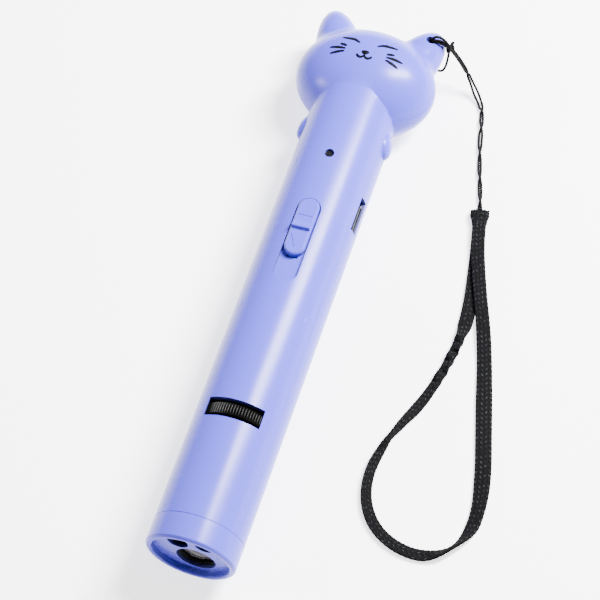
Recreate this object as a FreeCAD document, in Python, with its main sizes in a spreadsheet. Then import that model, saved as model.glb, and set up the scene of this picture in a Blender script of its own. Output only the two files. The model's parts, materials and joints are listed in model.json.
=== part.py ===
import FreeCAD, Part
import math
import os
import Sketcher
from FreeCAD import Placement, Rotation, Vector

# A palm-sized pointer for playing with a cat: a round tube with a cat's head on its far end, a lens and
# two lamps in its nose, a pattern wheel, a slide switch, a charging socket and a wrist strap.
#
# The pieces are drawn with x across, y from the nose end along the tube and z out of the cat's face, from
# the tube's own axis. Each piece's Placement then carries it into the part's frame: the pointer lies on its
# back on z = 0, with the origin under the middle of its length.

DIMENSIONS = (
    # Casing
    ("tube_radius", 11.0),
    ("tube_wall", 1.5),
    ("nose_wall", 2.0),
    ("nose_zone_end", 13.0),
    ("seam_bevel", 0.12),
    ("fit_gap", 0.1),
    # Nose cap
    ("cap_length", 6.45),
    ("cap_wall", 1.0),
    ("cap_recess", 1.65),
    ("cap_floor", 1.0),
    ("rim_width", 1.55),
    ("rim_outer_bevel", 0.6),
    ("rim_inner_bevel", 0.3),
    # Head
    ("head_y", 136.4),
    ("head_z", 0.5),
    ("head_half_width", 18.25),
    ("head_half_length", 14.2),
    ("head_half_depth", 12.2),
    ("head_tilt", 8.5),
    ("head_wall", 1.8),
    ("hollow_share", 0.83),
    ("hollow_depth_share", 0.55),
    ("head_corners", 24),
    ("head_bands", 12),
    # Ears
    ("ear_x", 8.7),
    ("ear_y", 141.91),
    ("ear_z", 0.6),
    ("ear_half_width", 6.2),
    ("ear_half_length", 15.0),
    ("ear_half_depth", 6.3),
    ("ear_lean", 22.5),
    ("ear_corners", 14),
    ("ear_bands", 5),
    ("ear_hole_x", 13.2),
    ("ear_hole_y", 151.0),
    ("ear_hole_radius", 1.2),
    # Paws
    ("paw_inset", 1.1),
    ("paw_y", 119.6),
    ("paw_z", 1.0),
    ("paw_half_width", 2.2),
    ("paw_half_length", 4.2),
    ("paw_half_depth", 3.2),
    ("paw_lean", 18.0),
    ("paw_corners", 10),
    ("paw_bands", 6),
    # Lens and its ring
    ("lens_angle", 280.3),
    ("lens_offset", 3.354),
    ("lens_inset", 0.646),
    ("lens_curve", 9.0),
    ("lens_edge", 1.6),
    ("lens_window_lip", 0.2),
    ("lens_ring_length", 1.3),
    ("lens_ring_width", 0.6),
    ("light_tunnel_shelf", 0.7),
    ("light_tunnel_wall", 0.75),
    ("light_tunnel_end", 31.0),
    ("holder_length", 9.35),
    # Laser module
    ("laser_angle", 53.9),
    ("laser_inset", 0.559),
    ("laser_radius", 2.5),
    ("laser_length", 11.0),
    ("laser_window_radius", 2.25),
    ("laser_setback", 1.85),
    ("laser_aperture_radius", 1.2),
    # Ultraviolet lamp
    ("uv_angle", 129.2),
    ("uv_inset", 1.596),
    ("uv_window_radius", 2.5),
    # White and ultraviolet lamps
    ("lamp_radius", 2.5),
    ("lamp_flange_radius", 2.9),
    ("lamp_flange_length", 1.0),
    ("lamp_length", 6.55),
    # Pattern wheel and its window
    ("wheel_y", 34.4),
    ("wheel_inset", 0.3),
    ("wheel_side_gap", 0.6),
    ("wheel_thickness", 3.0),
    ("wheel_rim", 1.3),
    ("wheel_hub_radius", 2.7),
    ("wheel_web", 1.2),
    ("wheel_gap", 0.3),
    ("rib_count", 60),
    ("rib_groove_width", 0.5),
    ("rib_groove_depth", 0.4),
    ("pattern_count", 6),
    ("pattern_radius", 1.9),
    ("film_thickness", 0.2),
    ("window_length", 4.8),
    ("window_half_width", 6.77),
    # Wheel axle, lamp carrier and click spring
    ("axle_radius", 0.95),
    ("axle_head_radius", 1.8),
    ("axle_head_length", 0.6),
    ("axle_head_gap", 0.4),
    ("running_gap", 0.05),
    ("press_gap", 0.02),
    ("carrier_y", 38.4),
    ("carrier_length", 4.0),
    ("carrier_boss_radius", 2.2),
    ("rib_ring_length", 1.1),
    ("rib_ring_depth", 0.6),
    ("spring_thickness", 0.25),
    ("spring_width", 1.8),
    ("spring_tip", 0.2),
    ("spring_arm", 1.4),
    ("spring_foot", 2.2),
    # Knob and its recess
    ("recess_y", 82.05),
    ("recess_length", 23.9),
    ("recess_width", 6.0),
    ("recess_depth", 1.4),
    ("recess_floor_thickness", 1.3),
    ("knob_length", 16.3),
    ("knob_width", 5.2),
    ("knob_rise", 0.45),
    ("knob_bevel", 0.4),
    ("knob_end_gap", 0.15),
    ("ridge_height", 0.95),
    ("ridge_ramp", 1.55),
    ("ridge_flank", 1.15),
    ("ridge_crest", 0.4),
    ("knob_stem_half_length", 0.85),
    ("knob_stem_half_width", 1.3),
    ("knob_stem_length", 2.4),
    ("arrow_length", 3.6),
    ("arrow_width", 3.6),
    ("arrow_gap", 1.4),
    ("arrow_height", 0.15),
    ("retainer_thickness", 0.65),
    ("retainer_half_length", 8.9),
    ("retainer_half_width", 3.4),
    # Circuit board and what is on it
    ("board_start", 60.0),
    ("board_end", 109.6),
    ("board_side_gap", 0.32),
    ("board_thickness", 1.2),
    ("switch_width", 6.6),
    ("switch_height", 4.0),
    ("switch_wall", 0.3),
    ("switch_base_thickness", 0.5),
    ("lever_half_length", 0.5),
    ("lever_half_width", 0.8),
    ("carriage_length", 5.0),
    ("carriage_end_gap", 1.05),
    ("indicator_y", 107.7),
    ("indicator_radius", 1.1),
    ("indicator_flange_radius", 1.7),
    ("indicator_setback", 0.7),
    # Charging socket
    ("socket_y", 96.0),
    ("socket_width", 7.5),
    ("socket_height", 2.5),
    ("socket_depth", 5.1),
    ("socket_wall", 0.3),
    ("socket_slope", 0.75),
    ("socket_setback", 0.6),
    ("socket_opening_y", 96.8),
    ("socket_opening_length", 9.4),
    ("socket_opening_z", 1.1),
    ("socket_opening_height", 3.1),
    # Battery
    ("battery_start", 56.5),
    ("battery_length", 40.0),
    ("battery_side_room", 3.0),
    ("battery_low_room", 3.1),
    ("battery_top_z", -0.4),
    ("battery_round", 1.5),
    ("pad_thickness", 0.8),
    ("tape_length", 6.0),
    ("tape_thickness", 0.12),
    # Screws that close the casing
    ("screw_first_y", 51.0),
    ("screw_second_y", 113.0),
    ("screw_head_y", 136.0),
    ("screw_radius", 1.0),
    ("screw_length", 8.0),
    ("screw_head_radius", 1.9),
    ("screw_head_length", 1.3),
    ("screw_seat_depth", 3.6),
    ("post_radius", 2.5),
    ("post_wall", 0.75),
    # Strap and cord
    ("cord_diameter", 0.6),
    ("knot_radius", 1.4),
    ("knot_x", 17.9),
    ("knot_y", 151.8),
    ("knot_z", 2.2),
    ("strap_width", 3.6),
    ("strap_thickness", 1.0),
    ("wire_diameter", 0.8),
    ("lead_straight", 2.7),
)


class Size:
    """A size: its value in millimetres, or degrees, and the sheet expression that gives it."""

    def __init__(self, value, text):
        self.value = value
        self.text = text

    def joined(self, sign, other, value):
        return Size(value, "(%s %s %s)" % (self.text, sign, size(other).text))

    def __add__(self, other):
        return self.joined("+", other, self.value + size(other).value)

    def __sub__(self, other):
        return self.joined("-", other, self.value - size(other).value)

    def __mul__(self, other):
        return self.joined("*", other, self.value * size(other).value)

    def __truediv__(self, other):
        return self.joined("/", other, self.value / size(other).value)

    def __radd__(self, other):
        return size(other) + self

    def __rsub__(self, other):
        return size(other) - self

    def __rmul__(self, other):
        return size(other) * self

    def __neg__(self):
        return size(0) - self


def size(number):
    """Any number as a Size."""
    if isinstance(number, Size):
        return number
    return Size(float(number), repr(float(number)))


def root(number):
    return Size(math.sqrt(number.value), "sqrt(%s)" % number.text)


def sine(angle):
    return Size(math.sin(math.radians(angle.value)), "sin(%s * 1 deg)" % angle.text)


def cosine(angle):
    return Size(math.cos(math.radians(angle.value)), "cos(%s * 1 deg)" % angle.text)


doc = FreeCAD.newDocument("cat_laser_pointer")
sheet = doc.addObject("Spreadsheet::Sheet", "Dim")


class Sheet:
    """The driving dimensions by name."""


dim = Sheet()
for row, (alias, value) in enumerate(DIMENSIONS, start=1):
    sheet.set("A%d" % row, alias)
    sheet.set("B%d" % row, str(value))
    sheet.setAlias("B%d" % row, alias)
    setattr(dim, alias, Size(float(value), "Dim." + alias))
doc.recompute()

AROUND_X = Vector(1, 0, 0)
AROUND_Z = Vector(0, 0, 1)
ALONG = {"X": Rotation(Vector(0, 1, 0), 90), "Y": Rotation(AROUND_X, -90), "Z": Rotation()}
SIDES = (-1, 1)
CROSSWAYS = Rotation(Vector(1, 1, 1), 120)
LENGTHWAYS = Rotation(Vector(1, 1, 1), -120)
EGG_END = 0.03
HALF_SQUARE = math.sqrt(0.5)
pieces = {}
places = {}


def bind(thing, **sizes):
    """Tie properties of a document object to the sheet."""
    for name, number in sizes.items():
        thing.setExpression(name, size(number).text)
    return thing


def stand(thing, x=0, y=0, z=0):
    """Tie where an object stands to the sheet."""
    places[thing.Name] = (x, y, z)
    for axis, number in (("x", x), ("y", y), ("z", z)):
        thing.setExpression("Placement.Base." + axis, size(number).text)
    return thing


def rod(radius, start, end, x=0, y=0, z=0, along="Y"):
    """A round rod from start to end along an axis, through the point given by the other two places."""
    piece = bind(doc.addObject("Part::Cylinder", "Rod"), Radius=radius, Height=size(end) - start)
    piece.Placement = Placement(Vector(), ALONG[along])
    place = {"x": x, "y": y, "z": z}
    place[along.lower()] = start
    return stand(piece, **place)


def post(radius, start, end, y):
    """An eight-sided post across the tube's middle."""
    piece = bind(doc.addObject("Part::Prism", "Post"), Circumradius=radius, Height=size(end) - start)
    piece.Polygon = 8
    return stand(piece, 0, y, start)


def block(x0, x1, y0, y1, z0, z1):
    """A box between two corners."""
    piece = doc.addObject("Part::Box", "Block")
    bind(piece, Length=size(x1) - x0, Width=size(y1) - y0, Height=size(z1) - z0)
    return stand(piece, x0, y0, z0)


def wide(half_width, y0, y1, z0, z1):
    """A box that is centred across the pointer."""
    return block(-size(half_width), half_width, y0, y1, z0, z1)


def egg_rings(half_wide, half_narrow, half_length, corners, bands, first=-90):
    """The corners of an egg's rings, at equal steps of angle along its length: each ring's corners are on
    an ellipse, and the egg closes in a small flat."""
    rings = []
    sides = int(corners.value)
    for step in range(int(bands.value) + 1):
        angle = math.radians(first + (90 - first) * step / bands.value)
        share = max(math.cos(angle), EGG_END)
        ring = []
        for corner in range(sides):
            around = 2 * math.pi * (corner + 0.5) / sides
            ring.append(Vector(half_wide.value * share * math.cos(around),
                               half_narrow.value * share * math.sin(around),
                               half_length.value * math.sin(angle)))
        rings.append(ring)
    return rings


def flat(corners):
    return Part.Face(Part.makePolygon(corners + corners[:1]))


def egg(rings, turn, x, y, z):
    """An egg-shaped solid with a flat facet between each pair of corners, turned and then placed."""
    facets = [flat(rings[0][::-1]), flat(rings[-1])]
    for lower, upper in zip(rings, rings[1:]):
        for corner in range(len(lower)):
            facets.append(flat([lower[corner - 1], lower[corner], upper[corner], upper[corner - 1]]))
    shell = Part.makeShell(facets)
    shell.sewShape()
    piece = doc.addObject("Part::Feature", "Egg")
    piece.Shape = Part.makeSolid(shell)
    piece.Placement = Placement(Vector(), turn)
    return stand(piece, x, y, z)


def fuse(*parts):
    if len(parts) == 1:
        return parts[0]
    whole = doc.addObject("Part::MultiFuse", "Fuse")
    whole.Shapes = list(parts)
    return whole


def cut(base, *tools):
    whole = doc.addObject("Part::Cut", "Cut")
    whole.Base = base
    whole.Tool = fuse(*tools)
    return whole


def common(first, second):
    whole = doc.addObject("Part::Common", "Common")
    whole.Base = first
    whole.Tool = second
    return whole


class Drawing:
    """A sketch on one of a body's own origin planes, held by the sheet."""

    def __init__(self, body, role, offset=0):
        self.sketch = body.newObject("Sketcher::SketchObject", "Sketch")
        plane = [feature for feature in body.Origin.OriginFeatures if feature.Role == role][0]
        self.sketch.AttachmentSupport = [(plane, "")]
        self.sketch.MapMode = "FlatFace"
        self.sketch.setExpression("AttachmentOffset.Base.z", size(offset).text)

    def hold(self, kind, *place):
        """Add one constraint whose last value is a size."""
        number = self.sketch.addConstraint(Sketcher.Constraint(kind, *place[:-1], size(place[-1]).value))
        self.sketch.setExpression("Constraints[%d]" % number, size(place[-1]).text)

    def pin(self, edge, point, x, y):
        """Hold one point of an edge at a place given from the sketch's origin."""
        for number, kind, line in ((size(x), "DistanceX", -2), (size(y), "DistanceY", -1)):
            if number.text == "0.0":
                self.sketch.addConstraint(Sketcher.Constraint("PointOnObject", edge, point, line))
            else:
                self.hold(kind, -1, 1, edge, point, number)

    def circle(self, x, y, radius):
        centre = Vector(size(x).value, size(y).value, 0)
        edge = self.sketch.addGeometry(Part.Circle(centre, Vector(0, 0, 1), size(radius).value))
        self.hold("Radius", edge, radius)
        self.pin(edge, 3, x, y)

    def outline(self, corners):
        """A closed outline, counter-clockwise. A corner's third value, if it has one, is the radius of the
        arc that leads to it, bulging away from the solid."""
        ends = [Vector(size(corner[0]).value, size(corner[1]).value, 0) for corner in corners]
        edges = []
        for number, corner in enumerate(corners):
            start, end = ends[number - 1], ends[number]
            if len(corner) == 3:
                radius = size(corner[2]).value
                chord = end - start
                aside = Vector(chord.y, -chord.x, 0).normalize()
                rise = radius - math.sqrt(max(radius ** 2 - (chord.Length / 2) ** 2, 0))
                shape = Part.Arc(start, (start + end) * 0.5 + aside * rise, end)
            else:
                shape = Part.LineSegment(start, end)
            edge = self.sketch.addGeometry(shape)
            first = 1 if (self.sketch.getPoint(edge, 1) - start).Length < 1e-6 else 2
            edges.append((edge, first, 3 - first))
        for number, (edge, first, last) in enumerate(edges):
            before = edges[number - 1]
            self.sketch.addConstraint(Sketcher.Constraint("Coincident", before[0], before[2], edge, first))
            self.pin(edge, first, *corners[number - 1][:2])
            if len(corners[number]) == 3:
                self.hold("Radius", edge, corners[number][2])
        return self


def turned(*corners):
    """A body spun about its own y axis from an outline of radius and height."""
    body = doc.addObject("PartDesign::Body", "Turned")
    drawing = Drawing(body, "XY_Plane").outline(corners)
    spin = body.newObject("PartDesign::Revolution", "Revolution")
    spin.Profile = drawing.sketch
    spin.ReferenceAxis = (drawing.sketch, ["V_Axis"])
    spin.Angle = 360
    return body


def padded(role, start, length, *corners):
    """A body padded from an outline: across on YZ, along the tube on XZ, and outwards on XY."""
    body = doc.addObject("PartDesign::Body", "Padded")
    backwards = role == "XZ_Plane"
    drawing = Drawing(body, role, -size(start) if backwards else start).outline(corners)
    pad = body.newObject("PartDesign::Pad", "Pad")
    pad.Profile = drawing.sketch
    pad.Reversed = backwards
    bind(pad, Length=length)
    return body


def finish(name, piece, x=0, y=0, z=0):
    """Name a piece and carry it into the part's frame."""
    piece.Label = name
    own_x, own_y, own_z = places.get(piece.Name, (0, 0, 0))
    stand(piece, size(x) + own_x, size(y) + own_y - origin_y, size(z) + own_z + axis_height)
    pieces[name] = piece
    return piece


# Places that several pieces share
axis_height = dim.tube_radius + dim.running_gap
bore_radius = dim.tube_radius - dim.tube_wall
nose_bore_radius = dim.tube_radius - dim.nose_wall
cap_bore_radius = dim.tube_radius - dim.cap_wall
spigot_radius = cap_bore_radius - dim.fit_gap
cap_back = dim.cap_recess + dim.cap_floor
holder_end = cap_back + dim.holder_length
lens_edge_front = cap_back + dim.lens_ring_length
lens_back = lens_edge_front + dim.lens_edge
wheel_front = dim.wheel_y - dim.wheel_thickness / 2
wheel_back = dim.wheel_y + dim.wheel_thickness / 2
window_start = dim.wheel_y - dim.window_length / 2
window_end = dim.wheel_y + dim.window_length / 2
carrier_end = dim.carrier_y + dim.carrier_length
board_top = dim.board_thickness
switch_top = board_top + dim.switch_height
travel = dim.recess_length - dim.knob_length - dim.knob_end_gap * 2
knob_y = dim.recess_y + travel / 2
paw_x = dim.tube_radius - dim.paw_inset
head_rings = egg_rings(dim.head_half_length, dim.head_half_depth, dim.head_half_width, dim.head_corners,
                       dim.head_bands)
ear_rings = egg_rings(dim.ear_half_depth, dim.ear_half_width, dim.ear_half_length, dim.ear_corners,
                      dim.ear_bands, first=0)
paw_rings = egg_rings(dim.paw_half_depth, dim.paw_half_width, dim.paw_half_length, dim.paw_corners,
                      dim.paw_bands)
ear_turns = [Rotation(AROUND_Z, -side * dim.ear_lean.value) * LENGTHWAYS for side in SIDES]
ear_rise = max(ear_turns[0].multVec(corner).y for ring in ear_rings for corner in ring)
origin_y = (dim.ear_y + ear_rise) / 2
post_top = dim.tube_radius - dim.tube_wall / 2
lens_radius = nose_bore_radius - dim.lens_offset - dim.lens_inset
lens_x = dim.lens_offset * cosine(dim.lens_angle)
lens_z = dim.lens_offset * sine(dim.lens_angle)
laser_offset = nose_bore_radius - dim.laser_radius - dim.laser_inset
laser_x = laser_offset * cosine(dim.laser_angle)
laser_z = laser_offset * sine(dim.laser_angle)
uv_offset = nose_bore_radius - dim.lamp_radius - dim.uv_inset
uv_x = uv_offset * cosine(dim.uv_angle)
uv_z = uv_offset * sine(dim.uv_angle)
wheel_radius = bore_radius - dim.wheel_side_gap
wheel_z = dim.tube_radius - wheel_radius - dim.wheel_inset
recess_floor_z = dim.tube_radius - dim.recess_depth
knob_top_z = dim.tube_radius + dim.knob_rise
knob_stem_end_z = recess_floor_z - dim.knob_stem_length
board_half_width = root(bore_radius * bore_radius - board_top * board_top) - dim.board_side_gap
socket_mouth_x = dim.tube_radius - dim.socket_setback
battery_low_z = dim.battery_low_room - bore_radius
head_post_top = dim.head_z + dim.head_half_depth - dim.head_wall / 2
beyond = dim.tube_radius * 3


def casing():
    """The closed outer form with its hollow, before it is split into a front and a rear shell."""
    barrel = turned(
        (0, cap_back + dim.fit_gap),
        (spigot_radius, cap_back + dim.fit_gap),
        (spigot_radius, dim.cap_length),
        (dim.tube_radius - dim.seam_bevel, dim.cap_length),
        (dim.tube_radius, dim.cap_length + dim.seam_bevel),
        (dim.tube_radius, dim.head_y),
        (0, dim.head_y),
    )
    tilt = Rotation(AROUND_X, dim.head_tilt.value)
    forms = [barrel, egg(head_rings, tilt * CROSSWAYS, 0, dim.head_y, dim.head_z)]
    for side, turn in zip(SIDES, ear_turns):
        forms.append(egg(ear_rings, turn, dim.ear_x * side, dim.ear_y, dim.ear_z))
        lean = Rotation(AROUND_Z, side * dim.paw_lean.value)
        forms.append(egg(paw_rings, lean * LENGTHWAYS, paw_x * side, dim.paw_y, dim.paw_z))
    outer = fuse(*forms)
    under_back = block(-beyond, beyond, dim.head_y - beyond, dim.head_y + beyond, -beyond, -axis_height)
    rib_radius = bore_radius - dim.rib_ring_depth
    rib_start = dim.carrier_y - dim.fit_gap - dim.rib_ring_length
    seat_start = dim.carrier_y - dim.fit_gap
    seat_end = carrier_end + dim.fit_gap
    hollow = turned(
        (0, 0),
        (nose_bore_radius, 0),
        (nose_bore_radius, dim.nose_zone_end),
        (bore_radius, dim.nose_zone_end),
        (bore_radius, rib_start),
        (rib_radius, rib_start),
        (rib_radius, seat_start),
        (bore_radius, seat_start),
        (bore_radius, seat_end),
        (rib_radius, seat_end),
        (rib_radius, seat_end + dim.rib_ring_length),
        (bore_radius, seat_end + dim.rib_ring_length),
        (bore_radius, dim.head_y),
        (0, dim.head_y),
    )
    wheel_space = rod(wheel_radius + dim.wheel_gap, window_start, window_end, z=wheel_z)
    ear_hole = rod(dim.ear_hole_radius, -dim.tube_radius, dim.tube_radius, x=dim.ear_hole_x,
                   y=dim.ear_hole_y, along="Z")
    return cut(outer, under_back, hollow, head_hollow(), wheel_space, ear_hole)


def head_hollow():
    """Six-sided room in the head, whose corners are at a share of the way to the head's inside."""
    across = (dim.head_half_width - dim.head_wall) * dim.hollow_share
    along = (dim.head_half_length - dim.head_wall) * dim.hollow_share * sine(size(60))
    up = (dim.head_half_depth - dim.head_wall) * dim.hollow_depth_share
    return padded(
        "XY_Plane", dim.head_z - up, up * 2,
        (-across, dim.head_y),
        (-across / 2, dim.head_y - along),
        (across / 2, dim.head_y - along),
        (across, dim.head_y),
        (across / 2, dim.head_y + along),
        (-across / 2, dim.head_y + along),
    )


def obround(width, y0, y1, z0, z1):
    """A slab with round ends, along the tube."""
    half = size(width) / 2
    return fuse(wide(half, y0 + half, y1 - half, z0, z1),
                rod(half, z0, z1, y=y0 + half, along="Z"),
                rod(half, z0, z1, y=y1 - half, along="Z"))


SCREWS = ((dim.screw_first_y, post_top), (dim.screw_second_y, post_top), (dim.screw_head_y, head_post_top))


def front_shell(body):
    half = common(body, block(-beyond, beyond, 0, dim.head_y + beyond, 0, beyond))
    recess_start = dim.recess_y - dim.recess_length / 2
    recess_end = dim.recess_y + dim.recess_length / 2
    floor_under = recess_floor_z - dim.recess_floor_thickness
    added = [wide(dim.recess_width / 2 + dim.tube_wall, recess_start - dim.tube_wall,
                  recess_end + dim.tube_wall, floor_under, recess_floor_z)]
    for place, top in SCREWS:
        added.append(post(dim.post_radius, 0, top, place))
    near = board_half_width - dim.post_radius
    clamp_top = root(bore_radius * bore_radius - near * near) + dim.tube_wall / 2
    for station in (dim.board_start + dim.post_radius, dim.board_end - dim.post_radius * 2):
        for side in SIDES:
            ends = (near, near + dim.tube_wall) if side > 0 else (-near - dim.tube_wall, -near)
            added.append(block(*ends, station, station + dim.recess_floor_thickness, board_top, clamp_top))
    window = wide(dim.window_half_width, window_start, window_end, wheel_z, dim.tube_radius + 1)
    recess = obround(dim.recess_width, recess_start, recess_end, recess_floor_z, dim.tube_radius + 1)
    slot_reach = travel / 2 + dim.knob_stem_half_length + dim.fit_gap
    slot = wide(dim.knob_stem_half_width + dim.fit_gap, dim.recess_y - slot_reach,
                dim.recess_y + slot_reach, floor_under - 1, recess_floor_z + 1)
    lamp_hole = rod(dim.indicator_radius + dim.running_gap, bore_radius - 1, dim.tube_radius + 1,
                    y=dim.indicator_y, along="Z")
    socket_hole = block(bore_radius - 1, dim.tube_radius + 1,
                        dim.socket_opening_y - dim.socket_opening_length / 2,
                        dim.socket_opening_y + dim.socket_opening_length / 2,
                        dim.socket_opening_z, dim.socket_opening_z + dim.socket_opening_height)
    removed = [window, recess, slot, lamp_hole, socket_hole]
    for place, top in SCREWS:
        removed.append(rod(dim.screw_radius + dim.press_gap, -1, dim.screw_length - dim.screw_seat_depth + 1,
                           y=place, along="Z"))
    finish("front_shell", cut(fuse(half, *added), *removed))


def rear_shell(body):
    half = common(body, block(-beyond, beyond, 0, dim.head_y + beyond, -beyond, 0))
    added = []
    for place, top in SCREWS:
        added.append(post(dim.screw_head_radius + dim.fit_gap * 2 + dim.post_wall, -post_top, 0, place))
    for side in SIDES:
        near = board_half_width - dim.tube_wall
        ends = (near, post_top) if side > 0 else (-post_top, -near)
        added.append(block(*ends, dim.board_start + dim.fit_gap, dim.board_end - dim.fit_gap,
                           -dim.tube_wall, 0))
    pad_bottom = battery_low_z - dim.pad_thickness
    rib = dim.tube_wall * 0.8
    rib_half = dim.tube_radius * 0.3
    battery_end = dim.battery_start + dim.battery_length
    for station in (dim.battery_start + rib * 2, dim.battery_start + dim.battery_length / 2 - rib / 2,
                    battery_end - rib * 3):
        added.append(wide(rib_half, station, station + rib, -post_top, pad_bottom))
    for station in (dim.battery_start - dim.fit_gap - rib, battery_end + dim.fit_gap):
        added.append(wide(rib_half, station, station + rib, -post_top, dim.battery_top_z - rib))
    removed = wire_grooves()
    for place, top in SCREWS:
        removed.append(rod(dim.screw_head_radius + dim.fit_gap * 2, -dim.tube_radius - 1,
                           -dim.screw_seat_depth, y=place, along="Z"))
        removed.append(rod(dim.screw_radius + dim.fit_gap, -dim.tube_radius - 1, 1, y=place, along="Z"))
    finish("rear_shell", cut(fuse(half, *added), *removed))


def case_screws():
    """Three pan-head screws, driven from the back."""
    screws = []
    for place, top in SCREWS:
        screws.append(rod(dim.screw_radius, -dim.screw_seat_depth, dim.screw_length - dim.screw_seat_depth,
                          y=place, along="Z"))
        screws.append(rod(dim.screw_head_radius, -dim.screw_seat_depth - dim.screw_head_length,
                          -dim.screw_seat_depth, y=place, along="Z"))
    finish("case_screws", fuse(*screws))


def nose_cap():
    rim_opening = dim.tube_radius - dim.rim_width
    shell = turned(
        (rim_opening, dim.cap_recess),
        (rim_opening, dim.rim_inner_bevel),
        (rim_opening + dim.rim_inner_bevel, 0),
        (dim.tube_radius - dim.rim_outer_bevel, 0),
        (dim.tube_radius, dim.rim_outer_bevel),
        (dim.tube_radius, dim.cap_length),
        (cap_bore_radius, dim.cap_length),
        (cap_bore_radius, cap_back),
        (0, cap_back),
        (0, dim.cap_recess),
    )
    holes = [rod(radius, dim.cap_recess - 1, cap_back + 1, x=x, z=z) for radius, x, z in (
        (lens_radius - dim.lens_window_lip, lens_x, lens_z),
        (dim.laser_window_radius, laser_x, laser_z),
        (dim.uv_window_radius, uv_x, uv_z))]
    finish("nose_cap", cut(shell, *holes))


def optics_holder():
    """A black block that carries the lens, the laser module and the ultraviolet lamp, with a light tunnel
    that reaches back to the pattern wheel."""
    tunnel_radius = lens_radius - dim.light_tunnel_shelf
    tunnel_outside = tunnel_radius + dim.light_tunnel_wall
    solid = fuse(rod(nose_bore_radius - dim.fit_gap, cap_back, holder_end),
                 rod(tunnel_outside, holder_end - 1, dim.light_tunnel_end, x=lens_x, z=lens_z))
    laser_seat = cap_back + dim.laser_setback
    bores = [
        rod(lens_radius + dim.fit_gap, cap_back - 1, lens_back, x=lens_x, z=lens_z),
        rod(tunnel_radius, lens_back - 1, dim.light_tunnel_end + 1, x=lens_x, z=lens_z),
        rod(dim.laser_window_radius, cap_back - 1, laser_seat + 1, x=laser_x, z=laser_z),
        rod(dim.laser_radius + dim.running_gap, laser_seat, holder_end + 1, x=laser_x, z=laser_z),
        rod(dim.lamp_radius + dim.running_gap, cap_back - 1, holder_end + 1, x=uv_x, z=uv_z),
    ]
    finish("optics_holder", cut(solid, *bores))


LENS_SLOPES = (0.55, 1.0)


def lens_sag(radius):
    """How far the lens's front falls back from its top at a radius."""
    return dim.lens_curve - root(dim.lens_curve * dim.lens_curve - radius * radius)


def lens_ring():
    opening = lens_radius - dim.lens_ring_width
    seat = lens_sag(lens_radius) - lens_sag(opening)
    ring = turned(
        (opening, cap_back),
        (lens_radius, cap_back),
        (lens_radius, lens_edge_front),
        (opening, lens_edge_front - seat - dim.press_gap),
    )
    finish("lens_ring", ring, x=lens_x, z=lens_z)


def projection_lens():
    """The lens, whose crown is turned in two slopes."""
    crown = [(lens_radius * share, lens_edge_front - lens_sag(lens_radius) + lens_sag(lens_radius * share))
             for share in LENS_SLOPES]
    lens = turned(
        (0, lens_edge_front - lens_sag(lens_radius)),
        *crown,
        (lens_radius, lens_back),
        (0, lens_back),
    )
    finish("projection_lens", lens, x=lens_x, z=lens_z)


def laser_module():
    front = cap_back + dim.laser_setback
    throat = dim.laser_aperture_radius
    module = turned(
        (0, front + throat),
        (throat, front + throat),
        (throat, front),
        (dim.laser_radius, front),
        (dim.laser_radius, front + dim.laser_length),
        (0, front + dim.laser_length),
    )
    finish("laser_module", module, x=laser_x, z=laser_z)


DOME_ANGLES = (size(40), size(90))


def lamp(seat):
    """A domed lamp that shines towards the nose, its flange behind the seat."""
    tip = seat - dim.lamp_length
    dome = [(dim.lamp_radius * sine(angle), tip + dim.lamp_radius * (1 - cosine(angle)))
            for angle in DOME_ANGLES]
    return turned(
        (0, tip),
        *dome,
        (dim.lamp_radius, seat),
        (dim.lamp_flange_radius, seat),
        (dim.lamp_flange_radius, seat + dim.lamp_flange_length),
        (0, seat + dim.lamp_flange_length),
    )


def pattern_wheel():
    """The thumb wheel: a grooved rim, a hub and a sunk web with pattern openings, closed by a film."""
    inner = wheel_radius - dim.wheel_rim
    web_front = wheel_back - dim.wheel_web
    bore = dim.axle_radius + dim.running_gap
    body = turned(
        (bore, wheel_front),
        (dim.wheel_hub_radius, wheel_front),
        (dim.wheel_hub_radius, web_front),
        (inner, web_front),
        (inner, wheel_front),
        (wheel_radius, wheel_front),
        (wheel_radius, wheel_back),
        (bore, wheel_back),
    )
    doc.recompute()
    axis = [feature for feature in body.Origin.OriginFeatures if feature.Role == "Y_Axis"][0]
    groove = Drawing(body, "XZ_Plane")
    half = dim.rib_groove_width / 2
    above = dim.rib_groove_depth
    groove.outline((
        (-half * 2, wheel_radius + above),
        (0, wheel_radius - dim.rib_groove_depth),
        (half * 2, wheel_radius + above),
    ))
    opening = Drawing(body, "XZ_Plane")
    side_x = dim.pattern_radius * math.cos(math.radians(30))
    middle = lens_z - wheel_z
    opening.outline((
        (lens_x, middle - dim.pattern_radius),
        (lens_x + side_x, middle - dim.pattern_radius / 2),
        (lens_x + side_x, middle + dim.pattern_radius / 2),
        (lens_x, middle + dim.pattern_radius),
        (lens_x - side_x, middle + dim.pattern_radius / 2),
        (lens_x - side_x, middle - dim.pattern_radius / 2),
    ))
    for drawing, count in ((groove, dim.rib_count), (opening, dim.pattern_count)):
        pocket = body.newObject("PartDesign::Pocket", "Pocket")
        pocket.Profile = drawing.sketch
        pocket.Type = "ThroughAll"
        pocket.Reversed = False
        doc.recompute()
        pattern = body.newObject("PartDesign::PolarPattern", "PolarPattern")
        pattern.Originals = [pocket]
        pattern.Axis = (axis, [""])
        pattern.Angle = 360
        bind(pattern, Occurrences=count)
        body.Tip = pattern
        doc.recompute()
    finish("pattern_wheel", body, z=wheel_z)
    film = turned(
        (dim.wheel_hub_radius + dim.fit_gap, web_front - dim.film_thickness),
        (inner - dim.fit_gap, web_front - dim.film_thickness),
        (inner - dim.fit_gap, web_front),
        (dim.wheel_hub_radius + dim.fit_gap, web_front),
    )
    finish("pattern_film", film, z=wheel_z)


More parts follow.
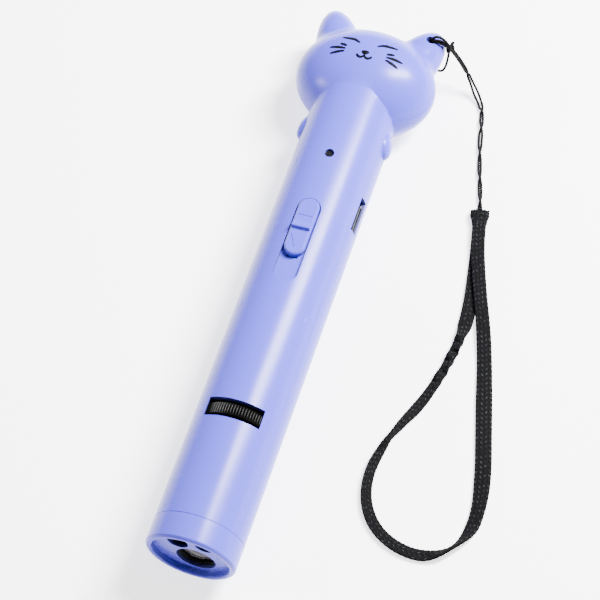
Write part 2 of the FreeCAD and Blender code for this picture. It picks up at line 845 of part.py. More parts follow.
def wheel_axle():
    head_back = wheel_front - dim.axle_head_gap
    axle = turned(
        (0, head_back - dim.axle_head_length),
        (dim.axle_head_radius, head_back - dim.axle_head_length),
        (dim.axle_head_radius, head_back),
        (dim.axle_radius, head_back),
        (dim.axle_radius, carrier_end),
        (0, carrier_end),
    )
    finish("wheel_axle", axle, z=wheel_z)


WIRE_X = dim.tube_radius * 0.59
WIRE_Z = -dim.tube_radius * 0.53


def wire_grooves():
    """Room for the leads past the carrier, one on each side."""
    return [rod(dim.wire_diameter * 1.3, dim.carrier_y - dim.rib_ring_length * 2,
                carrier_end + dim.rib_ring_length * 2, x=WIRE_X * side, z=WIRE_Z) for side in SIDES]


def lamp_carrier():
    """The bulkhead behind the wheel, with a boss for the axle, a bore for the lamp and a notch for wires."""
    disc = fuse(rod(bore_radius - dim.fit_gap, dim.carrier_y, carrier_end),
                rod(dim.carrier_boss_radius, wheel_back + dim.wheel_gap, dim.carrier_y + 1, z=wheel_z))
    holes = [
        rod(dim.axle_radius + dim.press_gap, wheel_back, carrier_end + 1, z=wheel_z),
        rod(dim.lamp_radius + dim.running_gap, wheel_back, carrier_end + 1, x=lens_x, z=lens_z),
    ]
    finish("lamp_carrier", cut(disc, *holes, *wire_grooves()))


def detent_spring():
    """A bent leaf on the carrier whose tip rides just behind the wheel's rim."""
    t = dim.spring_thickness
    face = dim.carrier_y
    tip = wheel_back + dim.fit_gap
    end = dim.wheel_rim - wheel_radius - dim.spring_tip
    bend = end + dim.spring_arm + dim.spring_tip
    foot = bend + dim.spring_foot
    leaf = padded(
        "XY_Plane", wheel_z - dim.spring_width / 2, dim.spring_width,
        (foot, face),
        (bend, face),
        (end + dim.spring_tip * 2, tip + t),
        (end, tip + t),
        (end, tip),
        (end + dim.spring_tip * 3, tip),
        (bend + t, face - t),
        (foot, face - t),
    )
    finish("detent_spring", leaf)


def circuit_board():
    half = board_half_width
    corner = dim.post_radius * 0.6
    board = padded(
        "XY_Plane", 0, dim.board_thickness,
        (-half + corner, dim.board_start),
        (half - corner, dim.board_start),
        (half, dim.board_start + corner),
        (half, dim.board_end - corner),
        (half - corner, dim.board_end),
        (-half + corner, dim.board_end),
        (-half, dim.board_end - corner),
        (-half, dim.board_start + corner),
    )
    finish("circuit_board", board)


def slide_switch():
    """The switch on the board: a base, a sheet-metal can open below and a carriage with its lever."""
    half = dim.switch_width / 2
    reach = travel / 2 + dim.carriage_length / 2 + dim.carriage_end_gap + dim.switch_wall
    start = dim.recess_y - reach
    end = dim.recess_y + reach
    base_top = board_top + dim.switch_base_thickness
    wall = dim.switch_wall
    finish("switch_base", wide(half, start, end, board_top, base_top))
    slot = travel / 2 + dim.lever_half_length + dim.fit_gap
    can = cut(wide(half, start, end, base_top, switch_top),
              wide(half - wall, start + wall, end - wall, base_top - 1, switch_top - wall),
              wide(dim.lever_half_width + dim.fit_gap, dim.recess_y - slot, dim.recess_y + slot,
                   base_top, switch_top + 1))
    finish("switch_can", can)
    inside = wall + dim.fit_gap
    lever_top = recess_floor_z - dim.fit_gap
    lever = fuse(wide(half - inside, knob_y - dim.carriage_length / 2, knob_y + dim.carriage_length / 2,
                      base_top + dim.fit_gap, switch_top - inside),
                 wide(dim.lever_half_width, knob_y - dim.lever_half_length, knob_y + dim.lever_half_length,
                      switch_top - inside - 1, lever_top))
    finish("switch_lever", lever)


def arrow(tip, base):
    """A low triangle on the knob, from the middle of its base to its tip."""
    half = dim.arrow_width / 2
    start = knob_top_z - dim.arrow_height
    corners = [(-half, base), (half, base), (0, tip)]
    if tip.value < base.value:
        corners = [(half, base), (-half, base), (0, tip)]
    return padded("XY_Plane", start, dim.arrow_height * 2, *corners)


def slide_knob():
    """The knob: a round-ended plate, bevelled at its edge, with a thumb step across it, an arrow at each
    end, and a stem that takes the lever."""
    start = knob_y - dim.knob_length / 2
    end = knob_y + dim.knob_length / 2
    bottom = recess_floor_z + dim.running_gap
    bevel_start = knob_top_z - dim.knob_bevel
    radius = dim.knob_width / 2
    plate = fuse(obround(dim.knob_width, start, end, bottom, bevel_start),
                 hipped(radius, start + radius, end - radius, bevel_start))
    ridge_reach = radius - dim.knob_bevel * HALF_SQUARE
    base = knob_top_z - dim.arrow_height
    crest = knob_top_z + dim.ridge_height
    crest_start = knob_y - dim.ridge_flank + dim.ridge_crest * 0.75
    ridge = padded(
        "YZ_Plane", -ridge_reach, ridge_reach * 2,
        (knob_y - dim.ridge_flank, base),
        (knob_y + dim.ridge_ramp, base),
        (crest_start + dim.ridge_crest, crest),
        (crest_start, crest),
    )
    stem = wide(dim.knob_stem_half_width, knob_y - dim.knob_stem_half_length,
                knob_y + dim.knob_stem_half_length, knob_stem_end_z, bevel_start)
    upper = knob_y + dim.ridge_ramp + dim.arrow_gap
    lower = knob_y - dim.ridge_flank - dim.arrow_gap
    arrows = [arrow(upper + dim.arrow_length, upper), arrow(lower - dim.arrow_length, lower)]
    socket = wide(dim.lever_half_width + dim.running_gap, knob_y - dim.lever_half_length - dim.running_gap,
                  knob_y + dim.lever_half_length + dim.running_gap, knob_stem_end_z - 1,
                  recess_floor_z)
    finish("slide_knob", cut(fuse(plate, ridge, stem, *arrows), socket))


def hipped(radius, y0, y1, z):
    """The bevelled top of the knob: a roof-edged bar between two cones."""
    top = knob_top_z
    bar = padded("XZ_Plane", y0, y1 - y0, (-radius, z), (radius, z), (radius - dim.knob_bevel, top),
                 (-radius + dim.knob_bevel, top))
    ends = []
    for y in (y0, y1):
        cone = bind(doc.addObject("Part::Cone", "Cone"), Radius1=radius, Radius2=radius - dim.knob_bevel,
                    Height=dim.knob_bevel)
        ends.append(stand(cone, 0, y, z))
    return fuse(bar, *ends)


def knob_retainer():
    """The clip plate on the knob's stem, under the recess floor."""
    top = recess_floor_z - dim.recess_floor_thickness - dim.fit_gap
    plate = cut(wide(dim.retainer_half_width, knob_y - dim.retainer_half_length,
                     knob_y + dim.retainer_half_length, top - dim.retainer_thickness, top),
                wide(dim.knob_stem_half_width + dim.press_gap,
                     knob_y - dim.knob_stem_half_length - dim.press_gap,
                     knob_y + dim.knob_stem_half_length + dim.press_gap,
                     knob_stem_end_z - 1, top + 1))
    finish("knob_retainer", plate)


def indicator():
    """A dark window in the round hole, its light guide and the small lamp on the board."""
    top = dim.tube_radius - dim.indicator_setback
    flange_top = bore_radius - dim.fit_gap * 2
    lamp_height = dim.indicator_radius * 0.6
    window = fuse(rod(dim.indicator_radius, flange_top - 0.5, top, y=dim.indicator_y, along="Z"),
                  rod(dim.indicator_flange_radius, flange_top - dim.indicator_radius, flange_top,
                      y=dim.indicator_y, along="Z"),
                  rod(dim.indicator_radius * 0.8, board_top + lamp_height + dim.fit_gap,
                      flange_top - dim.indicator_radius * 0.5, y=dim.indicator_y, along="Z"))
    finish("indicator_window", window)
    finish("indicator_lamp", wide(dim.indicator_radius * 0.4, dim.indicator_y - dim.indicator_radius * 0.7,
                                  dim.indicator_y + dim.indicator_radius * 0.7, board_top,
                                  board_top + lamp_height))


def usb_socket():
    """A folded metal shell with its contact tongue, mouth outwards."""
    bottom = board_top + dim.running_gap
    top = bottom + dim.socket_height
    start = socket_mouth_x - dim.socket_depth

    def form(inset):
        half = dim.socket_width / 2 - inset
        slope = dim.socket_slope
        return ((dim.socket_y - half, bottom + inset),
                (dim.socket_y + half, bottom + inset),
                (dim.socket_y + half, top - inset - slope),
                (dim.socket_y + half - slope, top - inset),
                (dim.socket_y - half + slope, top - inset),
                (dim.socket_y - half, top - inset - slope))

    shell = cut(padded("YZ_Plane", start, dim.socket_depth, *form(size(0))),
                padded("YZ_Plane", start + dim.socket_wall * 2, dim.socket_depth, *form(dim.socket_wall)))
    finish("usb_socket", shell)
    tongue_half = dim.socket_width * 0.25
    finish("usb_tongue", block(start + dim.socket_wall * 2, socket_mouth_x - dim.socket_wall * 3,
                               dim.socket_y - tongue_half, dim.socket_y + tongue_half,
                               top - dim.socket_height * 0.5, top - dim.socket_height * 0.25))


def board_parts():
    """The charging chip and the small components round it."""
    chip_y = dim.board_start + dim.post_radius * 3
    chip_half = dim.post_radius * 0.8
    finish("charge_chip", wide(chip_half, chip_y - chip_half, chip_y + chip_half, board_top,
                               board_top + dim.board_thickness * 1.2))
    group = []
    part_length = dim.post_radius * 0.64
    for step in range(4):
        for side in SIDES:
            near = dim.post_radius * 1.7
            ends = (near, near + part_length / 2) if side > 0 else (-near - part_length / 2, -near)
            start = chip_y - chip_half + part_length * 1.5 * step
            group.append(block(*ends, start, start + part_length, board_top, board_top + part_length / 2))
    finish("board_parts", fuse(*group))


def battery():
    """A flat lithium cell with rounded long edges, its taped end and the foam pad under it."""
    bottom = battery_low_z
    half = bore_radius - dim.battery_side_room
    r = dim.battery_round

    def form(grow):
        return ((-half + r, bottom - grow), (half - r, bottom - grow), (half + grow, bottom + r, r + grow),
                (half + grow, dim.battery_top_z - r), (half - r, dim.battery_top_z + grow, r + grow),
                (-half + r, dim.battery_top_z + grow), (-half - grow, dim.battery_top_z - r, r + grow),
                (-half - grow, bottom + r), (-half + r, bottom - grow, r + grow))

    end = dim.battery_start + dim.battery_length
    cell = padded("XZ_Plane", dim.battery_start, dim.battery_length, *form(size(0))[:-1])
    tape = padded("XZ_Plane", dim.battery_start, dim.tape_length, *form(dim.tape_thickness)[:-1])
    inside = padded("XZ_Plane", dim.battery_start - 1, dim.tape_length + 2, *form(size(0))[:-1])
    finish("battery", cell)
    finish("battery_tape", cut(tape, inside))
    pad_start = dim.battery_start + dim.tape_length + dim.fit_gap
    finish("battery_pad", wide(half - r, pad_start, end - dim.tube_wall, bottom - dim.pad_thickness, bottom))


def bent_path(points):
    """Straight runs joined by tangent arcs, with the arcs' radii and the length."""
    corners = [Vector(*point) for point in points]
    edges = []
    radii = []
    start = corners[0]
    for before, corner, after in zip(corners, corners[1:], corners[2:]):
        inwards = (before - corner).normalize()
        outwards = (after - corner).normalize()
        half_turn = (math.pi - inwards.getAngle(outwards)) / 2
        setback = 0.45 * min((before - corner).Length, (after - corner).Length)
        radius = setback / math.tan(half_turn)
        first = corner + inwards * setback
        last = corner + outwards * setback
        bisector = (inwards + outwards).normalize()
        middle = corner + bisector * (radius / math.cos(half_turn) - radius)
        edges.append(Part.LineSegment(start, first).toShape())
        edges.append(Part.Arc(first, middle, last).toShape())
        radii.append(radius)
        start = last
    edges.append(Part.LineSegment(start, corners[-1]).toShape())
    return Part.Wire(edges), radii


def tell_route(name, path, radii, share):
    """Print how long a route is, the radii of its bends, and its piece's volume as a share of the ideal."""
    bends = " ".join("%.1f" % radius for radius in radii)
    print("%s: length %.1f mm, radii %s, volume %.4f of the ideal" % (name, path.Length, bends, share))


def tube(name, points, diameter, sides):
    """A cord or lead along a route, with as many flat sides as told and the section of a round one."""
    path, radii = bent_path(points)
    start = Vector(*points[0])
    run = (Vector(*points[1]) - start).normalize()
    aside = run.cross(AROUND_Z).normalize()
    rise = aside.cross(run)
    area = math.pi * (diameter.value / 2) ** 2
    reach = math.sqrt(2 * area / (sides * math.sin(2 * math.pi / sides)))
    corners = []
    for corner in range(sides):
        around = 2 * math.pi * (corner + 0.5) / sides
        corners.append(start + aside * (reach * math.cos(around)) + rise * (reach * math.sin(around)))
    shape = path.makePipeShell([Part.makePolygon(corners + corners[:1])], True, False)
    tell_route(name, path, radii, shape.Volume / (area * path.Length))
    piece = doc.addObject("Part::Feature", "Tube")
    piece.Shape = shape
    return piece


CORD_SIDES = 6
LEAD_SIDES = 4
# Places in these routes: x from the tube's axis, y from the nose end, z from the surface that it lies on
EAR_LOOP_ROUTE = ((17.95, 151.85, 13.3), (17.4, 151.65, 15.5), (16.1, 151.4, 17.5), (14.3, 151.1, 18.1),
                  (13.2, 151.0, 15.9), (13.35, 151.05, 12.6), (13.2, 151.0, 9.4), (13.3, 150.9, 6.2),
                  (14.4, 150.6, 3.9), (16.2, 150.5, 4.1), (17.1, 150.8, 6.4), (17.5, 151.2, 9.0),
                  (17.7, 151.6, 11.3), (17.95, 151.8, 13.1))
STRAND_ROUTE = ((18.7, 151.8, 12.5), (21.1, 151.4, 9.2), (23.9, 149.8, 4.8), (26.0, 148.0, 1.5),
                (28.4, 145.0, 0.35), (29.6, 141.0, 0.35), (31.2, 133.5, 0.35), (33.4, 125.4, 0.35),
                (35.6, 118.4, 0.35), (36.76, 113.75, 0.4))
SEWN_END_ROUTE = ((36.82, 113.75, 0), (37.3, 111.6, 0))
STRAP_ROUTE = ((37.3, 111.6, 0), (38.9, 104.4, 0), (40.4, 96.0, 0), (41.6, 88.6, 0), (42.2, 81.6, 0),
               (41.8, 74.8, 0), (40.4, 66.6, 0), (38.1, 58.6, 0), (34.9, 50.6, 0), (32.2, 43.6, 0),
               (31.2, 36.6, 0), (32.5, 29.6, 0), (36.4, 23.8, 0), (42.4, 20.4, 0), (49.4, 19.6, 0),
               (55.2, 22.4, 0), (58.6, 28.2, 0), (58.9, 35.4, 0), (57.3, 44.4, 0), (54.6, 54.2, 0),
               (51.9, 64.2, 0), (49.3, 73.8, 0), (46.6, 82.2, 0.6), (43.9, 89.4, 1.05),
               (41.5, 96.2, 1.05), (39.04, 103.79, 1.05), (37.3, 111.6, 1.05))


def shifted(route, aside):
    """The same route beside itself, for the two strands of a doubled cord."""
    moved = []
    for number, point in enumerate(route):
        run = Vector(*route[min(number + 1, len(route) - 1)]) - Vector(*route[max(number - 1, 0)])
        flat = Vector(run.y, -run.x, 0).normalize() * aside
        moved.append((point[0] + flat.x, point[1] + flat.y, point[2]))
    return moved


def tape(name, route, width, thickness):
    """A flat tape along a route, its width always level."""
    path, radii = bent_path(route)
    start = Vector(*route[0])
    run = Vector(*route[1]) - start
    aside = Vector(run.y, -run.x, 0).normalize() * (width.value / 2)
    rise = Vector(0, 0, thickness.value)
    corners = [start + aside, start - aside, start - aside + rise, start + aside + rise]
    sweep = Part.BRepOffsetAPI.MakePipeShell(path)
    sweep.setBiNormalMode(AROUND_Z)
    sweep.add(Part.makePolygon(corners + corners[:1]))
    sweep.build()
    sweep.makeSolid()
    shape = sweep.shape()
    ideal = width.value * thickness.value * path.Length
    tell_route(name, path, radii, shape.Volume / ideal)
    piece = doc.addObject("Part::Feature", "Tape")
    piece.Shape = shape
    return piece


def on_table(name, piece):
    """Name a soft piece whose route is drawn from the surface."""
    piece.Label = name
    stand(piece, 0, -origin_y, 0)
    pieces[name] = piece


def lanyard():
    """The thin cord through the ear, its knot, the two strands to the strap and the strap itself."""
    on_table("ear_loop", tube("ear_loop", EAR_LOOP_ROUTE, dim.cord_diameter, CORD_SIDES))
    r = dim.knot_radius
    knot = turned((0, -r), (r * 0.6, -r), (r, -r * 0.45), (r, r * 0.45), (r * 0.6, r), (0, r))
    knot.Label = "lanyard_knot"
    stand(knot, dim.knot_x, dim.knot_y - origin_y, dim.knot_z + axis_height)
    pieces["lanyard_knot"] = knot
    half = dim.cord_diameter.value * 0.56
    for name, aside in (("cord_strand_left", -half), ("cord_strand_right", half)):
        on_table(name, tube(name, shifted(STRAND_ROUTE, aside), dim.cord_diameter, CORD_SIDES))
    on_table("wrist_strap", tape("wrist_strap", STRAP_ROUTE, dim.strap_width, dim.strap_thickness))
    on_table("strap_sewn_end", tape("strap_sewn_end", SEWN_END_ROUTE, dim.strap_width * 1.15,
                                    dim.strap_thickness * 2.1))


def wires():
    """The leads inside. Their corners are given as shares of the bore's radius, across and up from its
    axis, and by their distance from the nose end."""
    table = axis_height.value
    bore = bore_radius.value
    laser_back = cap_back.value + dim.laser_setback.value + dim.laser_length.value
    lamp_back = carrier_end.value + dim.lamp_flange_length.value
    uv_back = holder_end.value + dim.lamp_flange_length.value
    edge = dim.board_start.value - dim.running_gap.value
    middle = dim.board_thickness.value / 2 / bore

    def via(across, y, up):
        return Vector(across * bore, y, up * bore + table)

    def home(side):
        x, z = WIRE_X.value / bore * side, WIRE_Z.value / bore
        return (via(x, 30.5, z), via(x, 49.0, z + 0.05), via(0.76 * side, 53.8, -0.17),
                via(0.72 * side, 57.6, middle), via(0.71 * side, edge, middle))

    laser_start = Vector(laser_x.value, laser_back, laser_z.value + table)
    uv_start = Vector(uv_x.value, uv_back, uv_z.value + table)
    lamp_start = Vector(lens_x.value, lamp_back, lens_z.value + table)
    clear = Vector(0, dim.lead_straight.value, 0)
    routes = {
        "laser_wires": (laser_start, laser_start + clear, via(0.53, 21.2, 0.23), via(0.76, 24.0, -0.15),
                        via(0.74, 27.4, -0.49)) + home(1),
        "uv_wires": (uv_start, uv_start + clear, via(-0.55, 18.8, 0.18), via(-0.73, 22.2, -0.15),
                     via(-0.73, 26.2, -0.47)) + home(-1),
        "lamp_wires": (lamp_start, lamp_start + clear * 0.75, via(0.36, 48.0, -0.24), via(0.46, 51.6, -0.09),
                       via(0.44, 55.4, 0.04), via(0.40, 57.8, middle), via(0.40, edge, middle)),
        "battery_wires": (via(-0.48, dim.battery_start.value, -0.30), via(-0.48, 54.0, -0.30),
                          via(-0.48, 51.3, -0.20), via(-0.47, 50.2, 0.06), via(-0.46, 51.4, 0.31),
                          via(-0.45, 53.6, 0.37), via(-0.44, 55.8, 0.22), via(-0.43, 57.9, middle),
                          via(-0.43, edge, middle)),
    }
    for name, route in routes.items():
        on_table(name, tube(name, route, dim.wire_diameter, LEAD_SIDES))


casing_body = casing()
front_shell(casing_body)
rear_shell(casing_body)
case_screws()
nose_cap()
optics_holder()
lens_ring()
projection_lens()
laser_module()
finish("uv_lamp", lamp(holder_end), x=uv_x, z=uv_z)
finish("white_lamp", lamp(carrier_end), x=lens_x, z=lens_z)
pattern_wheel()
wheel_axle()
lamp_carrier()
detent_spring()
circuit_board()
slide_switch()
slide_knob()
knob_retainer()
indicator()
usb_socket()
board_parts()
battery()
lanyard()
wires()
doc.recompute()

failed = [thing.Label for thing in doc.Objects if "Invalid" in thing.State or "Error" in thing.State]
for name, piece in pieces.items():
    if piece.Shape.isNull() or not piece.Shape.isValid():
        failed.append(name)
if failed:
    raise RuntimeError("these objects failed: " + ", ".join(failed))

os.makedirs("parts", exist_ok=True)
for name, piece in pieces.items():
    piece.Shape.exportStep("parts/%s.step" % name)
print("%d pieces, travel %.2f mm, origin %.3f mm from the nose end"
      % (len(pieces), travel.value, origin_y.value))
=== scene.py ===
import json
import math

import bmesh
import bpy
import numpy
from mathutils import Matrix, Vector
from mathutils.bvhtree import BVHTree


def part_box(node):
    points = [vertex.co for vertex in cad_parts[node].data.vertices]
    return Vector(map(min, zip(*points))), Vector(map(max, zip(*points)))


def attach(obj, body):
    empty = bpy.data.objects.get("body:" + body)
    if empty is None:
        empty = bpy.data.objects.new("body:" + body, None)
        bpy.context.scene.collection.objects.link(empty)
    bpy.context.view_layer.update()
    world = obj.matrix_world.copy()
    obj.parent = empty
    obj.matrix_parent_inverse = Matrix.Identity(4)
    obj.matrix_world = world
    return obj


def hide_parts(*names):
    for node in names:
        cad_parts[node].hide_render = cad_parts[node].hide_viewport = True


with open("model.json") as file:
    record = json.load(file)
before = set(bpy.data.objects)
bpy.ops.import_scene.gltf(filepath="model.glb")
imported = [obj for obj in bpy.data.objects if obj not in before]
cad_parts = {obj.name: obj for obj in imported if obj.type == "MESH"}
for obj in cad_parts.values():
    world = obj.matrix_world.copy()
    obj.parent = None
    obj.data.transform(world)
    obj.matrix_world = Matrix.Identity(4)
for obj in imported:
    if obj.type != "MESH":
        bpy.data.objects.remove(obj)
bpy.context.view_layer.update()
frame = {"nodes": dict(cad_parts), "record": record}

bl_info = {
    "name": "Cat laser pointer",
    "version": (1, 0, 0),
    "blender": (4, 5, 0),
    "location": "3D View > Sidebar > Cat Pointer",
    "description": "Dresses the packed pointer: printed face, cord, woven strap, screws, lamps and finishes",
    "category": "Object",
}

MM = 0.001
NOSE_LOW, NOSE_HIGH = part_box("nose_cap")
AXIS_HEIGHT = (NOSE_LOW.z + NOSE_HIGH.z) / 2
TUBE_RADIUS = (NOSE_HIGH.x - NOSE_LOW.x) / 2

# Places in millimetres: x from the tube's axis, y from the nose end, z from the surface that it lies on
EAR_LOOP_ROUTE = ((17.95, 151.85, 13.3), (17.4, 151.65, 15.5), (16.1, 151.4, 17.5), (14.3, 151.1, 18.1),
                  (13.2, 151.0, 15.9), (13.35, 151.05, 12.6), (13.2, 151.0, 9.4), (13.3, 150.9, 6.2),
                  (14.4, 150.6, 3.9), (16.2, 150.5, 4.1), (17.1, 150.8, 6.4), (17.5, 151.2, 9.0),
                  (17.7, 151.6, 11.3), (17.95, 151.8, 13.1))
SECOND_RUN = ((17.9, 151.75, 12.9), (17.1, 151.6, 14.6), (15.6, 151.3, 15.9), (14.2, 151.1, 16.0),
              (13.1, 150.85, 14.6), (12.9, 150.75, 12.4), (12.85, 150.7, 10.4))
STRAND_ROUTE = ((18.7, 151.8, 12.5), (21.1, 151.4, 9.2), (23.9, 149.8, 4.8), (26.0, 148.0, 1.5),
                (28.4, 145.0, 0.35), (29.6, 141.0, 0.35), (31.2, 133.5, 0.35), (33.4, 125.4, 0.35),
                (35.6, 118.4, 0.35), (36.76, 113.75, 0.4))
SEWN_END_ROUTE = ((36.82, 113.75, 1.05), (37.3, 111.6, 1.05))
STRAP_ROUTE = ((37.3, 111.6, 0), (38.9, 104.4, 0), (40.4, 96.0, 0), (41.6, 88.6, 0), (42.2, 81.6, 0),
               (41.8, 74.8, 0), (40.4, 66.6, 0), (38.1, 58.6, 0), (34.9, 50.6, 0), (32.2, 43.6, 0),
               (31.2, 36.6, 0), (32.5, 29.6, 0), (36.4, 23.8, 0), (42.4, 20.4, 0), (49.4, 19.6, 0),
               (55.2, 22.4, 0), (58.6, 28.2, 0), (58.9, 35.4, 0), (57.3, 44.4, 0), (54.6, 54.2, 0),
               (51.9, 64.2, 0), (49.3, 73.8, 0), (46.6, 82.2, 0.6), (43.9, 89.4, 1.05),
               (41.5, 96.2, 1.05), (39.04, 103.79, 1.05), (37.3, 111.6, 1.05))
# How far the tape is rolled from flat, in degrees, by the millimetres along it
STRAP_ROLL = ((0, 0), (31, 0), (34, 35), (37, -30), (40, 36), (43, -32), (46, 32), (49, -10), (56, 8),
              (62, 50), (66, 74), (71, 20), (92, 8), (104, 6), (112, 64), (120, 12), (150, 0), (175, 4),
              (205, 0))
# How wide the tape is laid, as a share of its width, by the millimetres along it
STRAP_SHAPE = ((0, 1.04), (30, 1.06), (34, 0.78), (48, 0.76), (56, 0.82), (62, 0.7), (66, 0.6), (75, 0.78),
               (92, 0.88), (104, 0.9), (112, 0.75), (121, 1.02), (132, 1.2), (150, 1.2), (166, 1.1),
               (182, 1), (205, 1))
SEWN_END_SHAPE = ((0, 1.38), (1.2, 1.42), (2.6, 1.2), (4.4, 1.04))
# Printed lines on the face: x to each side and y, with the line's width at each point
EYE_LINE = ((2.2, 140.55, 0.5), (3.9, 141.5, 0.88), (5.5, 141.75, 0.88), (7.4, 141.9, 0.5))
WHISKERS = (
    ((5.2, 138.95, 0.5), (6.2, 139.3, 0.84), (7.2, 139.6, 0.5)),
    ((5.3, 138.05, 0.5), (7.4, 138.25, 0.88), (9.7, 138.15, 0.5)),
    ((5.3, 137.25, 0.5), (7.1, 136.8, 0.84), (9.0, 136.1, 0.5)),
)
MOUTH = ((-2.0, 136.95, 0.46), (-1.6, 136.35, 0.68), (-0.85, 136.1, 0.7), (-0.2, 136.5, 0.6),
         (0.0, 136.9, 0.52), (0.2, 136.5, 0.6), (0.85, 136.1, 0.7), (1.6, 136.35, 0.68),
         (2.0, 136.95, 0.46))
# The printed nose: its middle from the nose end, its width and its height
NOSE_PRINT_PLACE, NOSE_PRINT_WIDTH, NOSE_PRINT_HEIGHT = 137.75, 2.0, 1.35
INK_LIFT = 0.012 * MM
INK_THICKNESS = 0.02 * MM
# Steps between two points of a printed line, and how many of them its pointed end takes
LINE_STEPS, TAPER_STEPS = 10, 2.5
SCREW_PLACES = (51.0, 113.0, 136.0)
CORD_LAY = 2.0 * MM
CORD_PLIES = 3
PLY_SIDES = 8
# A ply's radius and how far it lies from the cord's middle, as shares of the cord's diameter
PLY_RADIUS, PLY_OFFSET = 0.36, 0.24
# How far each strand stands aside and the upper one rises, as shares of the cord's diameter
STRAND_ASIDE, STRAND_RISE = 0.56, 1.04
# Half turns of the two strands round each other, and how far they stand apart, along fifty millimetres
STRAND_TURNS = ((0, 0), (6.5, 0), (9.5, 1), (17.5, 1), (20.5, 2), (28, 3), (36, 4), (43, 5), (50, 6))
STRAND_GAP = ((0, 0.95), (8, 0.95), (10, 1.1), (14, 1.75), (17, 1.4), (20, 0.95), (24, 1.3), (34, 1), (50, 1))
TAPE_SIDES = 60
BRAID_COLUMNS = 4
# The slant of the braid's ridges, how far a column's ridges are shifted, and how high a column's seam is
RIDGE_SLANT, COLUMN_SHIFT, SEAM_HEIGHT = 0.6, 0.37, 0.3
WHEEL_RIBS = 78
# How deep the wheel's rim and its grooves are, in millimetres, and the power that rounds its ribs
RIM_DEPTH, GROOVE_DEPTH, RIB_ROUNDNESS = 0.75, 0.4, 0.55
LAMP_CLEARANCE = 0.1 * MM
CONTACTS = 5
# Vertices nearer than WELD are joined, edges shorter than SLIVER are removed, and TINY counts as nothing
WELD = 0.002 * MM
SLIVER = 0.001 * MM
TINY = 1e-6
# Edges that turn more than CREASE degrees stay sharp, and faces within FLAT degrees count as one flat
CREASE = 32
FLAT = 0.3


def spot(x, y, z):
    """A point from the tube's axis, the nose end and the axis again, in millimetres."""
    return Vector((x * MM, NOSE_LOW.y + y * MM, AXIS_HEIGHT + z * MM))


def laid(x, y, z):
    """A point whose height is from the surface that the pointer lies on, in millimetres."""
    return Vector((x * MM, NOSE_LOW.y + y * MM, z * MM))


def between(stations, at):
    """A value that changes smoothly from one station to the next."""
    for (low, first), (high, second) in zip(stations, stations[1:]):
        if at <= high:
            share = max(0.0, min(1.0, (at - low) / (high - low)))
            share = share * share * (3 - 2 * share)
            return first + (second - first) * share
    return stations[-1][1]


def through(points, steps):
    """Points on a smooth line through the given ones, with every value carried along."""
    line = []
    for number in range(len(points) - 1):
        quad = [points[max(number - 1, 0)], points[number], points[number + 1],
                points[min(number + 2, len(points) - 1)]]
        for step in range(steps):
            t = step / steps
            line.append([0.5 * (2 * b + (c - a) * t + (2 * a - 5 * b + 4 * c - d) * t ** 2
                                + (3 * b - a - 3 * c + d) * t ** 3) for a, b, c, d in zip(*quad)])
    line.append(list(points[-1]))
    return line


# Shared ways of making things

def new_piece(name, bm, material):
    """Turn a bmesh into a named object at the origin."""
    mesh = bpy.data.meshes.new(name)
    bm.to_mesh(mesh)
    bm.free()
    piece = bpy.data.objects.new(name, mesh)
    bpy.context.scene.collection.objects.link(piece)
    piece.data.materials.clear()
    piece.data.materials.append(material)
    return piece


def from_bmesh(name, bm, material, smooth=True):
    """Turn a bmesh into a piece with its faces outwards."""
    bmesh.ops.recalc_face_normals(bm, faces=bm.faces)
    for face in bm.faces:
        face.smooth = smooth
    return new_piece(name, bm, material)


def crease_by_angle(bm, degrees):
    """Shade smooth except over edges that turn more than an angle."""
    for face in bm.faces:
        face.smooth = True
    for edge in bm.edges:
        edge.smooth = edge.calc_face_angle(0.0) < math.radians(degrees)


def weld(bm):
    """Join the vertices that meet and remove slivers."""
    bmesh.ops.remove_doubles(bm, verts=bm.verts, dist=WELD)
    bmesh.ops.dissolve_degenerate(bm, edges=bm.edges, dist=SLIVER)


def spin_outline(bm, points, centre, axis, steps):
    """Add a body that is turned about an axis from its outline's points."""
    verts = [bm.verts.new(point) for point in points]
    edges = [bm.edges.new(pair) for pair in zip(verts, verts[1:])]
    bmesh.ops.spin(bm, geom=verts + edges, cent=centre, axis=axis, angle=2 * math.pi, steps=steps,
                   use_merge=True, use_duplicate=False)


def close_seams(bm, degrees):
    """Join a turned body's seams, face it outwards and shade it by angle."""
    bmesh.ops.remove_doubles(bm, verts=bm.verts, dist=WELD)
    bmesh.ops.recalc_face_normals(bm, faces=bm.faces)
    crease_by_angle(bm, degrees)


def followed(points):
    """The points of a smooth cord line, as Blender works them out from its route."""
    curve = bpy.data.curves.new("route", "CURVE")
    curve.dimensions = "3D"
    curve.resolution_u = 16
    spline = curve.splines.new("NURBS")
    spline.points.add(len(points) - 1)
    for control, point in zip(spline.points, points):
        control.co = (*point, 1.0)
    spline.order_u = 3
    spline.use_endpoint_u = True
    holder = bpy.data.objects.new("route", curve)
    bpy.context.scene.collection.objects.link(holder)
    bpy.context.view_layer.update()
    mesh = bpy.data.meshes.new_from_object(holder.evaluated_get(bpy.context.evaluated_depsgraph_get()))
    line = [vertex.co.copy() for vertex in mesh.vertices]
    bpy.data.objects.remove(holder)
    bpy.data.curves.remove(curve)
    bpy.data.meshes.remove(mesh)
    return line


def cord_line(route):
    """The smooth line of a route whose heights are from the surface that the pointer lies on."""
    return followed([laid(*place) for place in route])


def smooth_union(first, second, reach):
    """The lesser of two depths, with a soft hollow where they meet."""
    share = numpy.maximum(reach - numpy.abs(first - second), 0) / reach
    return numpy.minimum(first, second) - share * share * reach / 4


